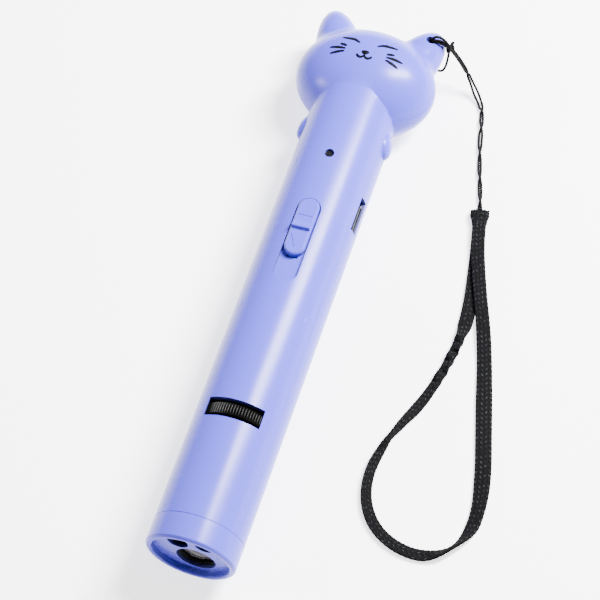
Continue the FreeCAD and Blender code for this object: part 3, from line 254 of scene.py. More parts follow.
class Egg:
    """A rounded form of the head: its middle from the axis and the nose end, its half sizes and its turn."""

    def __init__(self, middle, halves, axis, degrees):
        self.middle = numpy.array(middle)
        self.halves = numpy.array(halves)
        self.turn = numpy.array(Matrix.Rotation(math.radians(degrees), 3, axis))

    def depth(self, points):
        """About how far each point is outside the form, in millimetres."""
        own = (points - self.middle) @ self.turn
        near = numpy.linalg.norm(own / self.halves, axis=1)
        steep = numpy.linalg.norm(own / self.halves ** 2, axis=1)
        return near * (near - 1) / numpy.maximum(steep, TINY)


HEAD = Egg((0, 136.4, 0.5), (18.25, 14.2, 12.2), "X", 8.5)
EARS = [Egg((8.7 * side, 141.91, 0.6), (6.2, 15.0, 6.3), "Z", -22.5 * side) for side in (-1, 1)]
PAWS = [Egg((9.9 * side, 119.6, 1.0), (2.2, 4.2, 3.2), "Z", 18.0 * side) for side in (-1, 1)]
# How softly the forms flow into each other, and how near the neck's crease a point is drawn into it
EAR_SOFTNESS = 1.4
NECK_SOFTNESS = 0.15
NECK_FOLD = 0.45
# Where the smooth skin starts along the tube, and how low the back of the head is from the axis
HEAD_START = 112.0
HEAD_BACK = -AXIS_HEIGHT / MM
SKIN_CELL = 1.5
# Along which axes the head's skin is cut small, each from and to
HEAD_CUTS = ((0, -18.0, 18.0), (1, HEAD_START + SKIN_CELL, 156.0), (2, -10.5, 12.0))
# How far from the skin a face may be and how straight it must face, on the head and on the tube
HEAD_REACH, HEAD_FACING = 0.9, 0.5
TUBE_REACH, TUBE_FACING = 0.08, 0.95
# Within how many millimetres a face counts as starting at the head, and a vertex as on the split
PLACE_REACH, SPLIT_REACH = 0.01, 0.001
# How points find the skin: the step that its slope is taken over, the least slope, and the rounds
SLOPE_STEP = 0.01
LEAST_STEEP = 0.05
SKIN_ROUNDS, FOLD_ROUNDS = 8, 12
# Where the smooth skin folds more than this, a face's shade is looked up this share of the way to its middle
FOLD_COSINE = 0.975
FOLD_SHARE = 0.4
# Which lips are rounded: from where to where along the tube, and from how far over its axis
LIP_START, LIP_END, LIP_LOW = 25.0, 110.0, 0.5
LIP_ROUND = 0.12
# A face that is turned away from the outside by a smaller cosine than this is an opening's wall, which gets
# painted shade
WALL_FACING = 0.6
# The lens's straight edge, and how far its dome is set back
LENS_EDGE = 1.6
LENS_SETBACK = 0.12
# The nose's sunk face, how far from straight along the tube a wall may look, and how much painted shade the
# rim's inside gets
NOSE_FACE_RADIUS = 9.0
NOSE_WALL_FACING, NOSE_RIM_SHADE = 0.5, 0.5


def tube_depth(points):
    """How far points are outside the tube, which ends inside the head."""
    tube = numpy.hypot(points[:, 0], points[:, 2]) - TUBE_RADIUS / MM
    return numpy.maximum(tube, points[:, 1] - HEAD.middle[1])


def skin_depth(points):
    """How far points are outside the casing's smooth skin: the head, the ears, the paws and the tube."""
    form = HEAD.depth(points)
    for ear in EARS:
        form = smooth_union(form, ear.depth(points), EAR_SOFTNESS)
    form = smooth_union(form, tube_depth(points), NECK_SOFTNESS)
    for paw in PAWS:
        form = smooth_union(form, paw.depth(points), NECK_SOFTNESS)
    return form


def slope_of(form, points):
    """Which way a form faces at points, as steep as it is."""
    slope = numpy.zeros_like(points)
    for axis in range(3):
        step = numpy.zeros(3)
        step[axis] = SLOPE_STEP
        slope[:, axis] = (form(points + step) - form(points - step)) / (2 * SLOPE_STEP)
    return slope


def skin_slope(points):
    """Which way the skin faces at points."""
    return slope_of(skin_depth, points)


def onto_skin(points, held):
    """Points moved onto the skin; held ones keep their height."""
    for _ in range(SKIN_ROUNDS):
        slope = skin_slope(points)
        slope[held, 2] = 0
        steep = numpy.maximum((slope ** 2).sum(axis=1), LEAST_STEEP)
        points = points - (skin_depth(points) / steep)[:, None] * slope
    forms = numpy.stack((HEAD.depth(points), tube_depth(points)))
    folds = (numpy.abs(forms[0] - forms[1]) < NECK_FOLD) & (numpy.abs(forms).max(axis=0) < NECK_FOLD) & ~held
    for _ in range(FOLD_ROUNDS):
        for form in (HEAD.depth, tube_depth):
            slope = slope_of(form, points[folds])
            points[folds] -= (form(points[folds]) / (slope ** 2).sum(axis=1))[:, None] * slope
    points[:, 2] = numpy.maximum(points[:, 2], HEAD_BACK)
    return points


def from_axis(mesh_verts):
    """Vertices' places as millimetres from the tube's axis and the nose end."""
    places = numpy.array([vert.co for vert in mesh_verts]).reshape(-1, 3)
    return (places - numpy.array((0, NOSE_LOW.y, AXIS_HEIGHT))) / MM


def mark_skin(bm, layer):
    """Tell the casing's outside faces from its edges and its inside."""
    bm.verts.ensure_lookup_table()
    bm.verts.index_update()
    places = from_axis(bm.verts)
    depth = numpy.abs(skin_depth(places))
    slope = skin_slope(places)
    for face in bm.faces:
        ring = [vert.index for vert in face.verts]
        outward = Vector(slope[ring].mean(axis=0)).normalized()
        rounded = places[ring, 1].min() > HEAD_START - PLACE_REACH
        near, facing = (HEAD_REACH, HEAD_FACING) if rounded else (TUBE_REACH, TUBE_FACING)
        low = places[ring, 2].max() < HEAD_BACK + PLACE_REACH
        face[layer] = int(depth[ring].max() < near and not low and abs(face.normal.dot(outward)) > facing)


def soften_lips(bm, layer):
    """Round the lips of the openings along the tube a little."""
    lips = []
    for edge in bm.edges:
        middle = (edge.verts[0].co + edge.verts[1].co) / 2 - spot(0, 0, 0)
        along_tube = LIP_START * MM < middle.y < LIP_END * MM
        if along_tube and middle.z > LIP_LOW * MM and sum(face[layer] for face in edge.link_faces) == 1:
            lips.append(edge)
    bmesh.ops.bevel(bm, geom=lips, offset=LIP_ROUND * MM, segments=2, profile=0.5, affect="EDGES",
                    clamp_overlap=False, material=-1)


def mark_walls(bm, layer):
    """Mark the walls of the casing's openings for painted shade, as hardly any light reaches them."""
    wall = bm.faces.layers.float["wall"]
    bm.normal_update()
    bm.faces.ensure_lookup_table()
    middles = [(face.calc_center_median() - spot(0, 0, 0)) / MM for face in bm.faces]
    outward = skin_slope(numpy.array(middles))
    outward /= numpy.maximum(numpy.linalg.norm(outward, axis=1), 0.001)[:, None]
    facing = (outward * numpy.array([face.normal for face in bm.faces])).sum(axis=1)
    for face, straight in zip(bm.faces, facing):
        face[wall] = float(not face[layer] and straight < WALL_FACING)


def mark_nose_walls(bm):
    """Mark the walls of the nose's holes for painted shade, and the inside of its rim for half as much."""
    wall = bm.faces.layers.float.new("wall")
    for face in bm.faces:
        middle = (face.calc_center_median() - spot(0, 0, 0)) / MM
        if abs(face.normal.y) < NOSE_WALL_FACING:
            inward = face.normal.x * middle.x + face.normal.z * middle.z < 0
            in_face = math.hypot(middle.x, middle.z) < NOSE_FACE_RADIUS
            face[wall] = 1.0 if in_face else NOSE_RIM_SHADE * inward


def cut_skin(bm, layer, axis, along):
    """Cut the head's skin, and nothing else, straight through at a place along an axis."""
    place = [0.0, 0.0, 0.0]
    place[axis] = along
    normal = [0, 0, 0]
    normal[axis] = 1
    start = spot(0, HEAD_START, 0).y
    faces = [face for face in bm.faces if face[layer] and face.calc_center_median().y > start]
    edges = {edge for face in faces for edge in face.edges}
    verts = {vert for face in faces for vert in face.verts}
    bmesh.ops.bisect_plane(bm, geom=[*verts, *edges, *faces], dist=TINY, plane_co=spot(*place),
                           plane_no=normal)


def smooth_casing(name, node, material):
    """A casing shell whose outside is cut small on the head, moved onto the smooth skin, and shaded by it."""
    bm = joined_triangles(node)
    # A face layer for the painted shade on the openings' walls
    bm.faces.layers.float.new("wall")
    layer = bm.faces.layers.int.new("skin")
    start = spot(0, HEAD_START, 0)
    bmesh.ops.bisect_plane(bm, geom=list(bm.verts) + list(bm.edges) + list(bm.faces), dist=TINY,
                           plane_co=start, plane_no=(0, 1, 0))
    mark_skin(bm, layer)
    for axis, low, high in HEAD_CUTS:
        for step in range(int((high - low) / SKIN_CELL) + 1):
            cut_skin(bm, layer, axis, low + step * SKIN_CELL)
    moved = sorted({vert for face in bm.faces if face[layer] for vert in face.verts
                    if vert.co.y > start.y + TINY}, key=lambda vert: vert.index)
    places = from_axis(moved)
    held = (numpy.abs(places[:, 2]) < SPLIT_REACH) | (places[:, 2] < HEAD_BACK + PLACE_REACH)
    for vert, place in zip(moved, onto_skin(places, held)):
        vert.co = spot(*place)
    soften_lips(bm, layer)
    # Mark the openings' walls for painted shade
    mark_walls(bm, layer)
    crease_by_angle(bm, CREASE)
    for edge in bm.edges:
        if all(face[layer] for face in edge.link_faces):
            edge.smooth = True
    bm.faces.ensure_lookup_table()
    skin = [face[layer] for face in bm.faces]
    casing = new_piece(name, bm, material)
    shade_as_skin(casing.data, skin)
    return stands_for(casing, node)


def shade_as_skin(mesh, skin):
    """Give the skin's faces the smooth skin's own normals; where it folds, each face takes its own side's."""
    faces = [face for face in mesh.polygons if skin[face.index]]
    corners = [corner for face in faces for corner in face.loop_indices]
    centres = numpy.array([face.center for face in faces for corner in face.loop_indices])
    origin = numpy.array((0, NOSE_LOW.y, AXIS_HEIGHT))
    centres = (centres - origin) / MM
    places = from_axis(mesh.vertices)[[mesh.loops[corner].vertex_index for corner in corners]]
    slope = skin_slope(places)
    slope /= numpy.linalg.norm(slope, axis=1)[:, None]
    inside = skin_slope(places * (1 - FOLD_SHARE) + centres * FOLD_SHARE)
    inside /= numpy.linalg.norm(inside, axis=1)[:, None]
    folded = (slope * inside).sum(axis=1) < FOLD_COSINE
    slope[folded] = inside[folded]
    normals = [tuple(normal.vector) for normal in mesh.corner_normals]
    for corner, normal in zip(corners, slope):
        normals[corner] = tuple(normal)
    mesh.normals_split_custom_set(normals)


def length_of(line):
    """How long a line of points is."""
    return sum((b - a).length for a, b in zip(line, line[1:]))


def evenly(line, step):
    """The same line with points a steady step apart."""
    total = length_of(line)
    count = max(2, round(total / step))
    spaced = []
    walked, number = 0.0, 0
    for index in range(count + 1):
        want = total * index / count
        while number < len(line) - 2 and walked + (line[number + 1] - line[number]).length < want:
            walked += (line[number + 1] - line[number]).length
            number += 1
        run = line[number + 1] - line[number]
        share = (want - walked) / run.length if run.length else 0.0
        spaced.append(line[number] + run * min(share, 1.0))
    return spaced


def carried_frames(line):
    """A side and an up vector at each point, carried along so that they never spin."""
    frames = []
    side = None
    for number in range(len(line)):
        run = (line[min(number + 1, len(line) - 1)] - line[max(number - 1, 0)]).normalized()
        if side is None:
            start = Vector((0, 0, 1)) if abs(run.z) < 0.9 else Vector((1, 0, 0))
            side = run.cross(start).normalized()
        side = (side - run * side.dot(run)).normalized()
        frames.append((side, run.cross(side), run))
    return frames


def tube_mesh(bm, line, radius, sides):
    """A closed tube with domed ends, from a ring of vertices that is extruded along a line."""
    frames = carried_frames(line)
    rings = []
    for point, (side, up, run) in zip(line, frames):
        ring = bmesh.ops.create_circle(bm, segments=sides, radius=radius)["verts"]
        turn = Matrix((side, up, run)).transposed().to_4x4()
        bmesh.ops.transform(bm, matrix=Matrix.Translation(point) @ turn, verts=ring)
        rings.append(ring)
    for first, second in zip(rings, rings[1:]):
        for number in range(sides):
            after = (number + 1) % sides
            bm.faces.new((first[number], first[after], second[after], second[number]))
    for ring in (rings[0], rings[-1]):
        bmesh.ops.contextual_create(bm, geom=ring)


def lay_plies(bm, line, diameter):
    """A cord's plies, wound round a line."""
    fine = evenly(line, CORD_LAY / 12)
    frames = carried_frames(fine)
    step = length_of(fine) / (len(fine) - 1)
    for ply in range(CORD_PLIES):
        wound = []
        for number, (point, (side, up, _)) in enumerate(zip(fine, frames)):
            angle = 2 * math.pi * (ply / CORD_PLIES + number * step / CORD_LAY)
            wound.append(point + (side * math.cos(angle) + up * math.sin(angle)) * (diameter * PLY_OFFSET))
        tube_mesh(bm, wound, diameter * PLY_RADIUS, PLY_SIDES)


def twisted(name, line, diameter, material):
    """A laid cord, as one piece."""
    bm = bmesh.new()
    lay_plies(bm, line, diameter)
    return from_bmesh(name, bm, material)


def joined_triangles(node):
    """A copy of a CAD node's mesh with its loose triangles joined."""
    bm = bmesh.new()
    bm.from_mesh(frame["nodes"][node].data)
    weld(bm)
    return bm


def stands_for(piece, node):
    """Let a piece take a CAD node's place and body."""
    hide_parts(node)
    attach(piece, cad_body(node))
    return piece


def merged_copy(name, node, material, degrees=CREASE, edge_round=0.0, walls=None):
    """A CAD node's own shape, smooth over its curves and with its edges softened by a small round."""
    bm = joined_triangles(node)
    if edge_round:
        bmesh.ops.dissolve_limit(bm, angle_limit=math.radians(FLAT), verts=bm.verts, edges=bm.edges)
        sharp = [edge for edge in bm.edges if edge.calc_face_angle(0.0) > math.radians(degrees)]
        bmesh.ops.bevel(bm, geom=sharp, offset=edge_round * MM, segments=2, profile=0.5, affect="EDGES",
                        clamp_overlap=True, material=-1)
    # Mark faces for painted shade, where a marker is given
    if walls:
        walls(bm)
    crease_by_angle(bm, degrees)
    piece = stands_for(new_piece(name, bm, material), node)
    if edge_round:
        even = piece.modifiers.new("even shading", "WEIGHTED_NORMAL")
        even.keep_sharp = True
    return piece


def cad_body(node):
    """The body that a CAD node rides on."""
    for body, members in frame["record"]["behaviour"]["bodies"].items():
        if node in members:
            return body
    raise RuntimeError("no body holds " + node)


# Materials

class Value:
    """A socket in a material, which sums can be written with."""

    def __init__(self, shader, socket):
        self.shader = shader
        self.socket = socket

    def math(self, operation, *others):
        return self.shader.node("Math", {"operation": operation}, (self, *others))

    def __add__(self, other):
        return self.math("ADD", other)

    def __mul__(self, other):
        return self.math("MULTIPLY", other)

    def wave(self):
        """Up and down between 0 and 1, once for each whole number."""
        return self.math("PINGPONG", 0.5) * 2.0

    def step(self, low, high):
        """From 0 to 1, smoothly, between two values."""
        return self.shader.node("MapRange", {"interpolation_type": "SMOOTHSTEP"},
                                {"Value": self, "From Min": low, "From Max": high})


class Shader:
    """A material whose nodes are added by expressions."""

    def __init__(self, name):
        self.material = bpy.data.materials.new(name)
        self.material.use_nodes = True
        self.tree = self.material.node_tree
        self.surface = next(node for node in self.tree.nodes if node.type == "BSDF_PRINCIPLED")

    def join(self, value, socket):
        if isinstance(value, Value):
            self.tree.links.new(value.socket, socket)
        elif isinstance(value, (tuple, list)) and len(value) == 3 and socket.type == "RGBA":
            socket.default_value = (*value, 1.0)
        else:
            socket.default_value = value

    def node(self, kind, settings=None, inputs=(), output=0):
        made = self.tree.nodes.new("ShaderNode" + kind)
        for name, value in (settings or {}).items():
            setattr(made, name, value)
        pairs = inputs.items() if isinstance(inputs, dict) else enumerate(inputs)
        for key, value in pairs:
            self.join(value, made.inputs[key])
        return Value(self, made.outputs[output])

    def place(self):
        return self.node("TexCoord", output="Object")

    def parts(self, vector):
        """The three parts of a vector."""
        split = self.node("SeparateXYZ", None, (vector,))
        return [Value(self, socket) for socket in split.socket.node.outputs]

    def noise(self, scale, detail=3.0, place=None):
        return self.node("TexNoise", None, {"Vector": place or self.place(), "Scale": scale,
                                            "Detail": detail})

    def mix(self, share, first, second):
        return self.node("Mix", {"data_type": "RGBA"}, {0: share, 6: first, 7: second}, 2)

    def bump(self, height, strength, distance):
        return self.node("Bump", None, {"Height": height, "Strength": strength, "Distance": distance})

    def set(self, **inputs):
        for name, value in inputs.items():
            self.join(value, self.surface.inputs[name.replace("_", " ").title().replace("Ior", "IOR")])
        return self.material


def moulded_plastic(name, colour, roughness=0.36, grain=0.25, tone=0.05, glare=0.5, walls=None):
    """Satin injection-moulded plastic: a fine spark-eroded grain, a faint drift in tone, and painted shade on
    marked walls when a shade colour is given.
    """
    shader = Shader(name)
    drift = shader.noise(70.0, 2.0)
    fine = shader.noise(5200.0, 4.0)
    rub = shader.noise(420.0, 5.0).step(0.5, 0.8)
    darker = tuple(value * (1 - tone) for value in colour)
    surface = shader.mix(drift, darker, colour)
    # Painted shade: marked walls are mixed towards a dark shade colour
    if walls:
        wall = shader.node("Attribute", {"attribute_name": "wall"}, (), 2)
        surface = shader.mix(wall * 0.9, surface, walls)
    return shader.set(
        base_color=surface,
        roughness=fine * 0.08 + drift * 0.04 + rub * 0.03 + (roughness - 0.07),
        normal=shader.bump(fine + rub * 0.15, grain, 0.006 * MM),
        specular_ior_level=glare,
    )


def printed_ink(name, colour):
    """Pad-printed ink: nearly black, a little glossier than the plastic, with a faint ragged edge tone."""
    shader = Shader(name)
    fine = shader.noise(3800.0, 3.0)
    return shader.set(base_color=shader.mix(fine, colour, tuple(value + 0.004 for value in colour)),
                      roughness=fine * 0.15 + 0.45, specular_ior_level=0.03)


def clear_glass(name, tint, clearness=1.0, glare=0.5, coat=0.2):
    """A moulded lens: clear, with a faint machining swirl."""
    shader = Shader(name)
    swirl = shader.noise(900.0, 2.0)
    return shader.set(base_color=tint, roughness=swirl * 0.02 + 0.01, transmission_weight=clearness, ior=1.5,
                      coat_weight=coat, specular_ior_level=glare)


def drawn_metal(name, colour, roughness, along=2):
    """Metal with fine lines along one axis."""
    shader = Shader(name)
    scale = [5000.0] * 3
    scale[along] = 160.0
    lines = shader.node("Mapping", None, {"Vector": shader.place(), "Scale": scale})
    streak = shader.noise(1.0, 4.0, lines)
    worn = tuple(value * 0.82 for value in colour)
    return shader.set(base_color=shader.mix(streak, worn, colour), metallic=1.0,
                      roughness=streak * 0.16 + roughness, normal=shader.bump(streak, 0.2, 0.004 * MM))


def board_finish(name, green, copper):
    """Lacquered fibreglass with darker strips where copper runs under the lacquer."""
    shader = Shader(name)
    x, y = shader.parts(shader.place())[:2]
    lanes = (x * 780.0 + shader.noise(90.0, 1.0) * 1.5).wave().step(0.55, 0.62)
    cross = (y * 230.0 + shader.noise(60.0, 1.0) * 2.0).wave().step(0.72, 0.76)
    tracks = lanes.math("MAXIMUM", cross)
    weave = shader.noise(2600.0, 3.0)
    return shader.set(base_color=shader.mix(tracks * 0.55, green, copper), roughness=weave * 0.12 + 0.24,
                      coat_weight=0.5, normal=shader.bump(tracks + weave * 0.2, 0.4, 0.02 * MM))


def wrapped_foil(name, colour):
    """The battery's aluminium pouch: soft dents and a brushed sheen."""
    shader = Shader(name)
    dents = shader.noise(240.0, 4.0)
    fine = shader.noise(2100.0, 3.0)
    worn = tuple(value * 0.8 for value in colour)
    return shader.set(base_color=shader.mix(dents, worn, colour), metallic=1.0,
                      roughness=dents * 0.2 + fine * 0.08 + 0.22, normal=shader.bump(dents, 0.5, 0.08 * MM))


def thread_cord(name, colour):
    """Twisted polyester: fine fibres with a dull sheen."""
    shader = Shader(name)
    fibre = shader.noise(9000.0, 2.0)
    tuft = shader.noise(1500.0, 4.0)
    lighter = tuple(value * 3.0 + 0.01 for value in colour)
    return shader.set(base_color=shader.mix(tuft * fibre, colour, lighter), roughness=tuft * 0.2 + 0.68,
                      specular_ior_level=0.06, normal=shader.bump(fibre + tuft, 0.6, 0.03 * MM))


def foam_finish(name, colour):
    """Closed-cell foam: small pits all over."""
    shader = Shader(name)
    cells = shader.node("TexVoronoi", None, {"Vector": shader.place(), "Scale": 2600.0})
    lighter = tuple(value * 2.0 for value in colour)
    return shader.set(base_color=shader.mix(cells, lighter, colour), roughness=cells * 0.1 + 0.82,
                      normal=shader.bump(cells, 0.8, 0.12 * MM))


def pattern_film_finish(name, colour):
    """A dark film with small clear figures in rings round the wheel."""
    shader = Shader(name)
    cells = shader.node("TexVoronoi", {"feature": "DISTANCE_TO_EDGE"},
                        {"Vector": shader.place(), "Scale": 620.0})
    clear = cells.step(0.22, 0.3)
    return shader.set(base_color=shader.mix(clear, colour, (0.75, 0.8, 0.85)),
                      roughness=clear * 0.1 + 0.12)


def webbing_finish(name, colour):
    """The braided tape's yarn: each ridge a bundle of fine filaments, with a painted highlight that lightens
    the base colour on its crown.
    """
    shader = Shader(name)
    filament = shader.noise(6500.0, 2.0)
    fluff = shader.noise(900.0, 4.0)
    height = shader.node("Attribute", {"attribute_name": "yarn"}, (), 2)
    # Painted highlight: a lighter base colour on the crowns of the ridges
    painted_glint = height.step(0.8, 0.98) * fluff.step(0.4, 0.62)
    lighter = tuple(value * 2.5 + 0.016 for value in colour)
    return shader.set(base_color=shader.mix(painted_glint, colour, lighter),
                      roughness=fluff * 0.15 + 0.7, specular_ior_level=0.05,
                      normal=shader.bump(filament + height, 0.5, 0.05 * MM))


def make_finishes():
    """One material for each slot of the record."""
    sizes = bpy.context.scene.cat_pointer
    casing = tuple(sizes.casing_colour)
    black = tuple(sizes.black_colour)
    dull_black = tuple(value * 1.5 for value in black)
    return {
        # The casing gets a dark blue painted shade on the walls of its openings
        "casing": moulded_plastic("lavender_plastic", casing, 0.28, glare=0.16, walls=(0.02, 0.022, 0.085)),
        "black_plastic": moulded_plastic("black_plastic", dull_black, 0.4, 0.3, 0.2),
        "white_plastic": moulded_plastic("white_plastic", (0.8, 0.8, 0.77), 0.4, 0.2),
        "smoked": moulded_plastic("smoked_window", (0.006, 0.006, 0.008), 0.2, 0.1, 0.3),
        "lens": clear_glass("lens_glass", (0.045, 0.04, 0.042), 0.1, 0.08, 0.0),
        "clear_lamp": clear_glass("lamp_resin", (0.92, 0.93, 0.98)),
        "brass": drawn_metal("turned_brass", (0.72, 0.52, 0.24), 0.2, 1),
        "steel": drawn_metal("plated_steel", (0.66, 0.66, 0.65), 0.22, 1),
        "wheel": moulded_plastic("wheel_plastic", (0.0016, 0.0015, 0.0014), 0.3, 0.15, 0.2, 0.06),
        # A dark copy of plated metal for the socket shell: painted shade inside the charging port
        "socket": drawn_metal("socket_shell_painted_shade", (0.05, 0.05, 0.055), 0.3, 1),
        "film": pattern_film_finish("pattern_film", (0.02, 0.02, 0.025)),
        "board": board_finish("green_board", (0.012, 0.09, 0.035), (0.1, 0.22, 0.06)),
        "foil": wrapped_foil("cell_pouch", (0.78, 0.79, 0.8)),
        "tape": moulded_plastic("amber_tape", (0.62, 0.33, 0.05), 0.3, 0.5, 0.25),
        "foam": foam_finish("foam_pad", (0.03, 0.03, 0.032)),
        "red_wire": moulded_plastic("red_insulation", (0.5, 0.02, 0.015), 0.35, 0.2, 0.15),
        "blue_wire": moulded_plastic("blue_insulation", (0.03, 0.07, 0.4), 0.35, 0.2, 0.15),
        "white_wire": moulded_plastic("white_insulation", (0.75, 0.75, 0.72), 0.35, 0.2, 0.1),
        "cord": thread_cord("cord_thread", black),
        # The tape's finish carries painted highlights on its ridges
        "webbing": webbing_finish("woven_tape", black),
        "ink": printed_ink("face_ink", tuple(sizes.ink_colour)),
        "gold": drawn_metal("gilt_contact", (0.85, 0.62, 0.25), 0.18, 0),
        "sewing": thread_cord("sewing_thread", tuple(value * 1.6 for value in black)),
    }


FINISHES = {}


# Settings

class CatPointerSettings(bpy.types.PropertyGroup):
    """Sizes and colours of the dressed pointer"""
    casing_colour: bpy.props.FloatVectorProperty(
        name="Casing", description="Colour of the moulded casing", subtype="COLOR", size=3,
        default=(0.067, 0.062, 0.50), min=0.0, max=1.0)
    black_colour: bpy.props.FloatVectorProperty(
        name="Black", description="Colour of the wheel, the cord and the strap", subtype="COLOR", size=3,
        default=(0.002, 0.002, 0.0023), min=0.0, max=1.0)
    ink_colour: bpy.props.FloatVectorProperty(
        name="Face print", description="Colour of the printed face", subtype="COLOR", size=3,
        default=(0.001, 0.001, 0.0016), min=0.0, max=1.0)
    cord_diameter: bpy.props.FloatProperty(
        name="Cord", description="Diameter of the thin cord through the ear", default=0.6 * MM,
        min=0.3 * MM, max=3 * MM, unit="LENGTH")
    strap_width: bpy.props.FloatProperty(
        name="Strap width", description="Width of the woven tape", default=3.6 * MM,
        min=1 * MM, max=20 * MM, unit="LENGTH")
    strap_thickness: bpy.props.FloatProperty(
        name="Strap thickness", description="Thickness of the woven tape", default=1.0 * MM,
        min=0.2 * MM, max=4 * MM, unit="LENGTH")
    yarn_pitch: bpy.props.FloatProperty(
        name="Yarn pitch", description="Distance between the tape's slanting ridges", default=1.3 * MM,
        min=0.2 * MM, max=4 * MM, unit="LENGTH")
    yarn_height: bpy.props.FloatProperty(
        name="Yarn height", description="How far a ridge of the weave stands up", default=0.16 * MM,
        min=0.0, max=1 * MM, unit="LENGTH")
    key_light: bpy.props.FloatProperty(
        name="Strip light", description="Power of the long light over the tube", default=25.0, min=0.0,
        unit="POWER")
    fill_light: bpy.props.FloatProperty(
        name="Fill light", description="Power of the broad lights round the pointer", default=2.1, min=0.0,
        unit="POWER")


# Operators

def lay_floor():
    """The pale floor, a hair under the pointer."""
    bm = bmesh.new()
    bmesh.ops.create_grid(bm, x_segments=8, y_segments=8, size=4.0)
    bmesh.ops.translate(bm, vec=(0, 0, -0.03 * MM), verts=bm.verts)
    shader = Shader("pale_floor")
    tone = shader.noise(30.0, 2.0)
    floor_material = shader.set(base_color=shader.mix(tone, (0.83, 0.83, 0.84), (0.86, 0.86, 0.865)),
                                roughness=tone * 0.05 + 0.6, emission_color=(1.0, 1.0, 1.0),
                                emission_strength=2.15)
    floor = from_bmesh("floor", bm, floor_material)


def hang_lights(scene):
    """A faint even sky, a long light for the streak along the tube and three soft ones."""
    world = bpy.data.worlds.new("studio")
    world.use_nodes = True
    sky = next(node for node in world.node_tree.nodes if node.type == "BACKGROUND")
    sky.inputs["Color"].default_value = (1.0, 1.0, 1.0, 1.0)
    sky.inputs["Strength"].default_value = 0.1
    scene.world = world

    sizes = scene.cat_pointer
    tube, head = spot(0, 80, 0), spot(0, 136, 0)
    # Each with its name, its place, what it points at, its width and height in metres and its power
    lights = (
        ("strip_light", spot(285, 320, 450), tube, 0.09, 0.30, sizes.key_light),
        ("key_light", spot(430, 430, 620), tube, 0.27, 0.27, sizes.fill_light * 1.9),
        ("high_light", spot(-60, -20, 800), tube, 0.4, 0.4, sizes.fill_light),
        ("cheek_light", spot(-506, -87, 266), head, 0.08, 0.08, sizes.fill_light),
    )
    for name, place, target, width, height, power in lights:
        lamp = bpy.data.lights.new(name, "AREA")
        lamp.shape = "RECTANGLE"
        lamp.size = width
        lamp.size_y = height
        lamp.energy = power
        holder = bpy.data.objects.new(name, lamp)
        scene.collection.objects.link(holder)
        holder.location = place
        holder.rotation_mode = "QUATERNION"
        holder.rotation_quaternion = (target - holder.location).to_track_quat("-Z", "Y")


def set_camera(scene):
    """The camera where the photograph was taken from."""
    right = Vector((0.948983, 0.30895, -0.063104))
    up = Vector((-0.240189, 0.83789, 0.490153))
    back = Vector((0.204306, -0.44999, 0.869349))
    camera_data = bpy.data.cameras.new("photo_camera")
    camera_data.sensor_width = 36.0
    camera_data.lens = 137.32
    camera_data.clip_start = 0.01
    camera_data.clip_end = 20.0
    camera = bpy.data.objects.new("photo_camera", camera_data)
    scene.collection.objects.link(camera)
    camera.matrix_world = (Matrix.Translation(spot(117.0, -178.592, 483.744))
                           @ Matrix((right, up, back)).transposed().to_4x4())
    scene.camera = camera


class CATPOINTER_OT_stage(bpy.types.Operator):
    """Lay the pale floor, hang the soft lights and set the camera"""
    bl_idname = "cat_pointer.stage"
    bl_label = "Stage"

    def execute(self, context):
        lay_floor()
        hang_lights(context.scene)
        set_camera(context.scene)
        return {"FINISHED"}


class CATPOINTER_OT_finishes(bpy.types.Operator):
    """Make every finish and put it on the pieces that come from the solids"""
    bl_idname = "cat_pointer.finishes"
    bl_label = "Finishes"

    def execute(self, context):
        FINISHES.update(make_finishes())
        for part in frame["record"]["subparts"]:
            node = frame["nodes"][part["node"]]
            node.data.materials.clear()
            # The charging socket takes the darker metal with painted shade
            finish = "socket" if part["node"] == "usb_socket" else part["material_slot"]
            node.data.materials.append(FINISHES[finish])
        return {"FINISHED"}


class CATPOINTER_OT_cord(bpy.types.Operator):
    """Lay the twisted cord through the ear, tie its knot and run its two strands to the strap"""
    bl_idname = "cat_pointer.cord"
    bl_label = "Cord and knot"

    def execute(self, context):
        diameter = context.scene.cat_pointer.cord_diameter
        cord = FINISHES["cord"]
        line = cord_line(EAR_LOOP_ROUTE)
        loop = twisted("ear_loop_cord", line, diameter, cord)
        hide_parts("ear_loop")
        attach(loop, "root")

        bm = bmesh.new()
        for aside in (-0.3, 0.3):
            lay_plies(bm, cord_line(beside(SECOND_RUN, aside)), diameter)
        double = from_bmesh("loop_second_run", bm, cord)
        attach(double, "root")

        knot = tied_knot(diameter, cord)

        names = (("left_strand", "cord_strand_left"), ("right_strand", "cord_strand_right"))
        lines = twined(cord_line(STRAND_ROUTE), diameter)
        for (name, node), line in zip(names, lines):
            strand = twisted(name, line, diameter, cord)
            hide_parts(node)
            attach(strand, "root")
        return {"FINISHED"}


def tied_knot(diameter, material):
    """The knot beside the ear: the cord wound round itself twice, with one short end left standing."""
    low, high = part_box("lanyard_knot")
    middle = (low + high) / 2
    size = (high.x - low.x) / 2 - diameter / 2
    steps = 60
    bm = bmesh.new()
    for scale, lean in ((0.30, 0.0), (0.22, 1.1)):
        turn = Matrix.Rotation(lean, 3, "X") @ Matrix.Rotation(lean * 0.9, 3, "Z")
        ring = []
        for step in range(steps + 1):
            t = 2 * math.pi * step / steps
            ring.append(middle + turn @ Vector((math.sin(t) + 2 * math.sin(2 * t),
                                                math.cos(t) - 2 * math.cos(2 * t),
                                                -2.2 * math.sin(3 * t))) * (size * scale))
        lay_plies(bm, ring, diameter)
    end = [middle + Vector(place) * MM
           for place in ((0, 0, 0.3), (0.3, 0.6, 0.7), (0.5, 1.1, 0.9), (0.6, 1.5, 0.8))]
    lay_plies(bm, followed(end), diameter * 1.25)
    knot = from_bmesh("knot", bm, material)
    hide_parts("lanyard_knot")
    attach(knot, "root")
    return knot


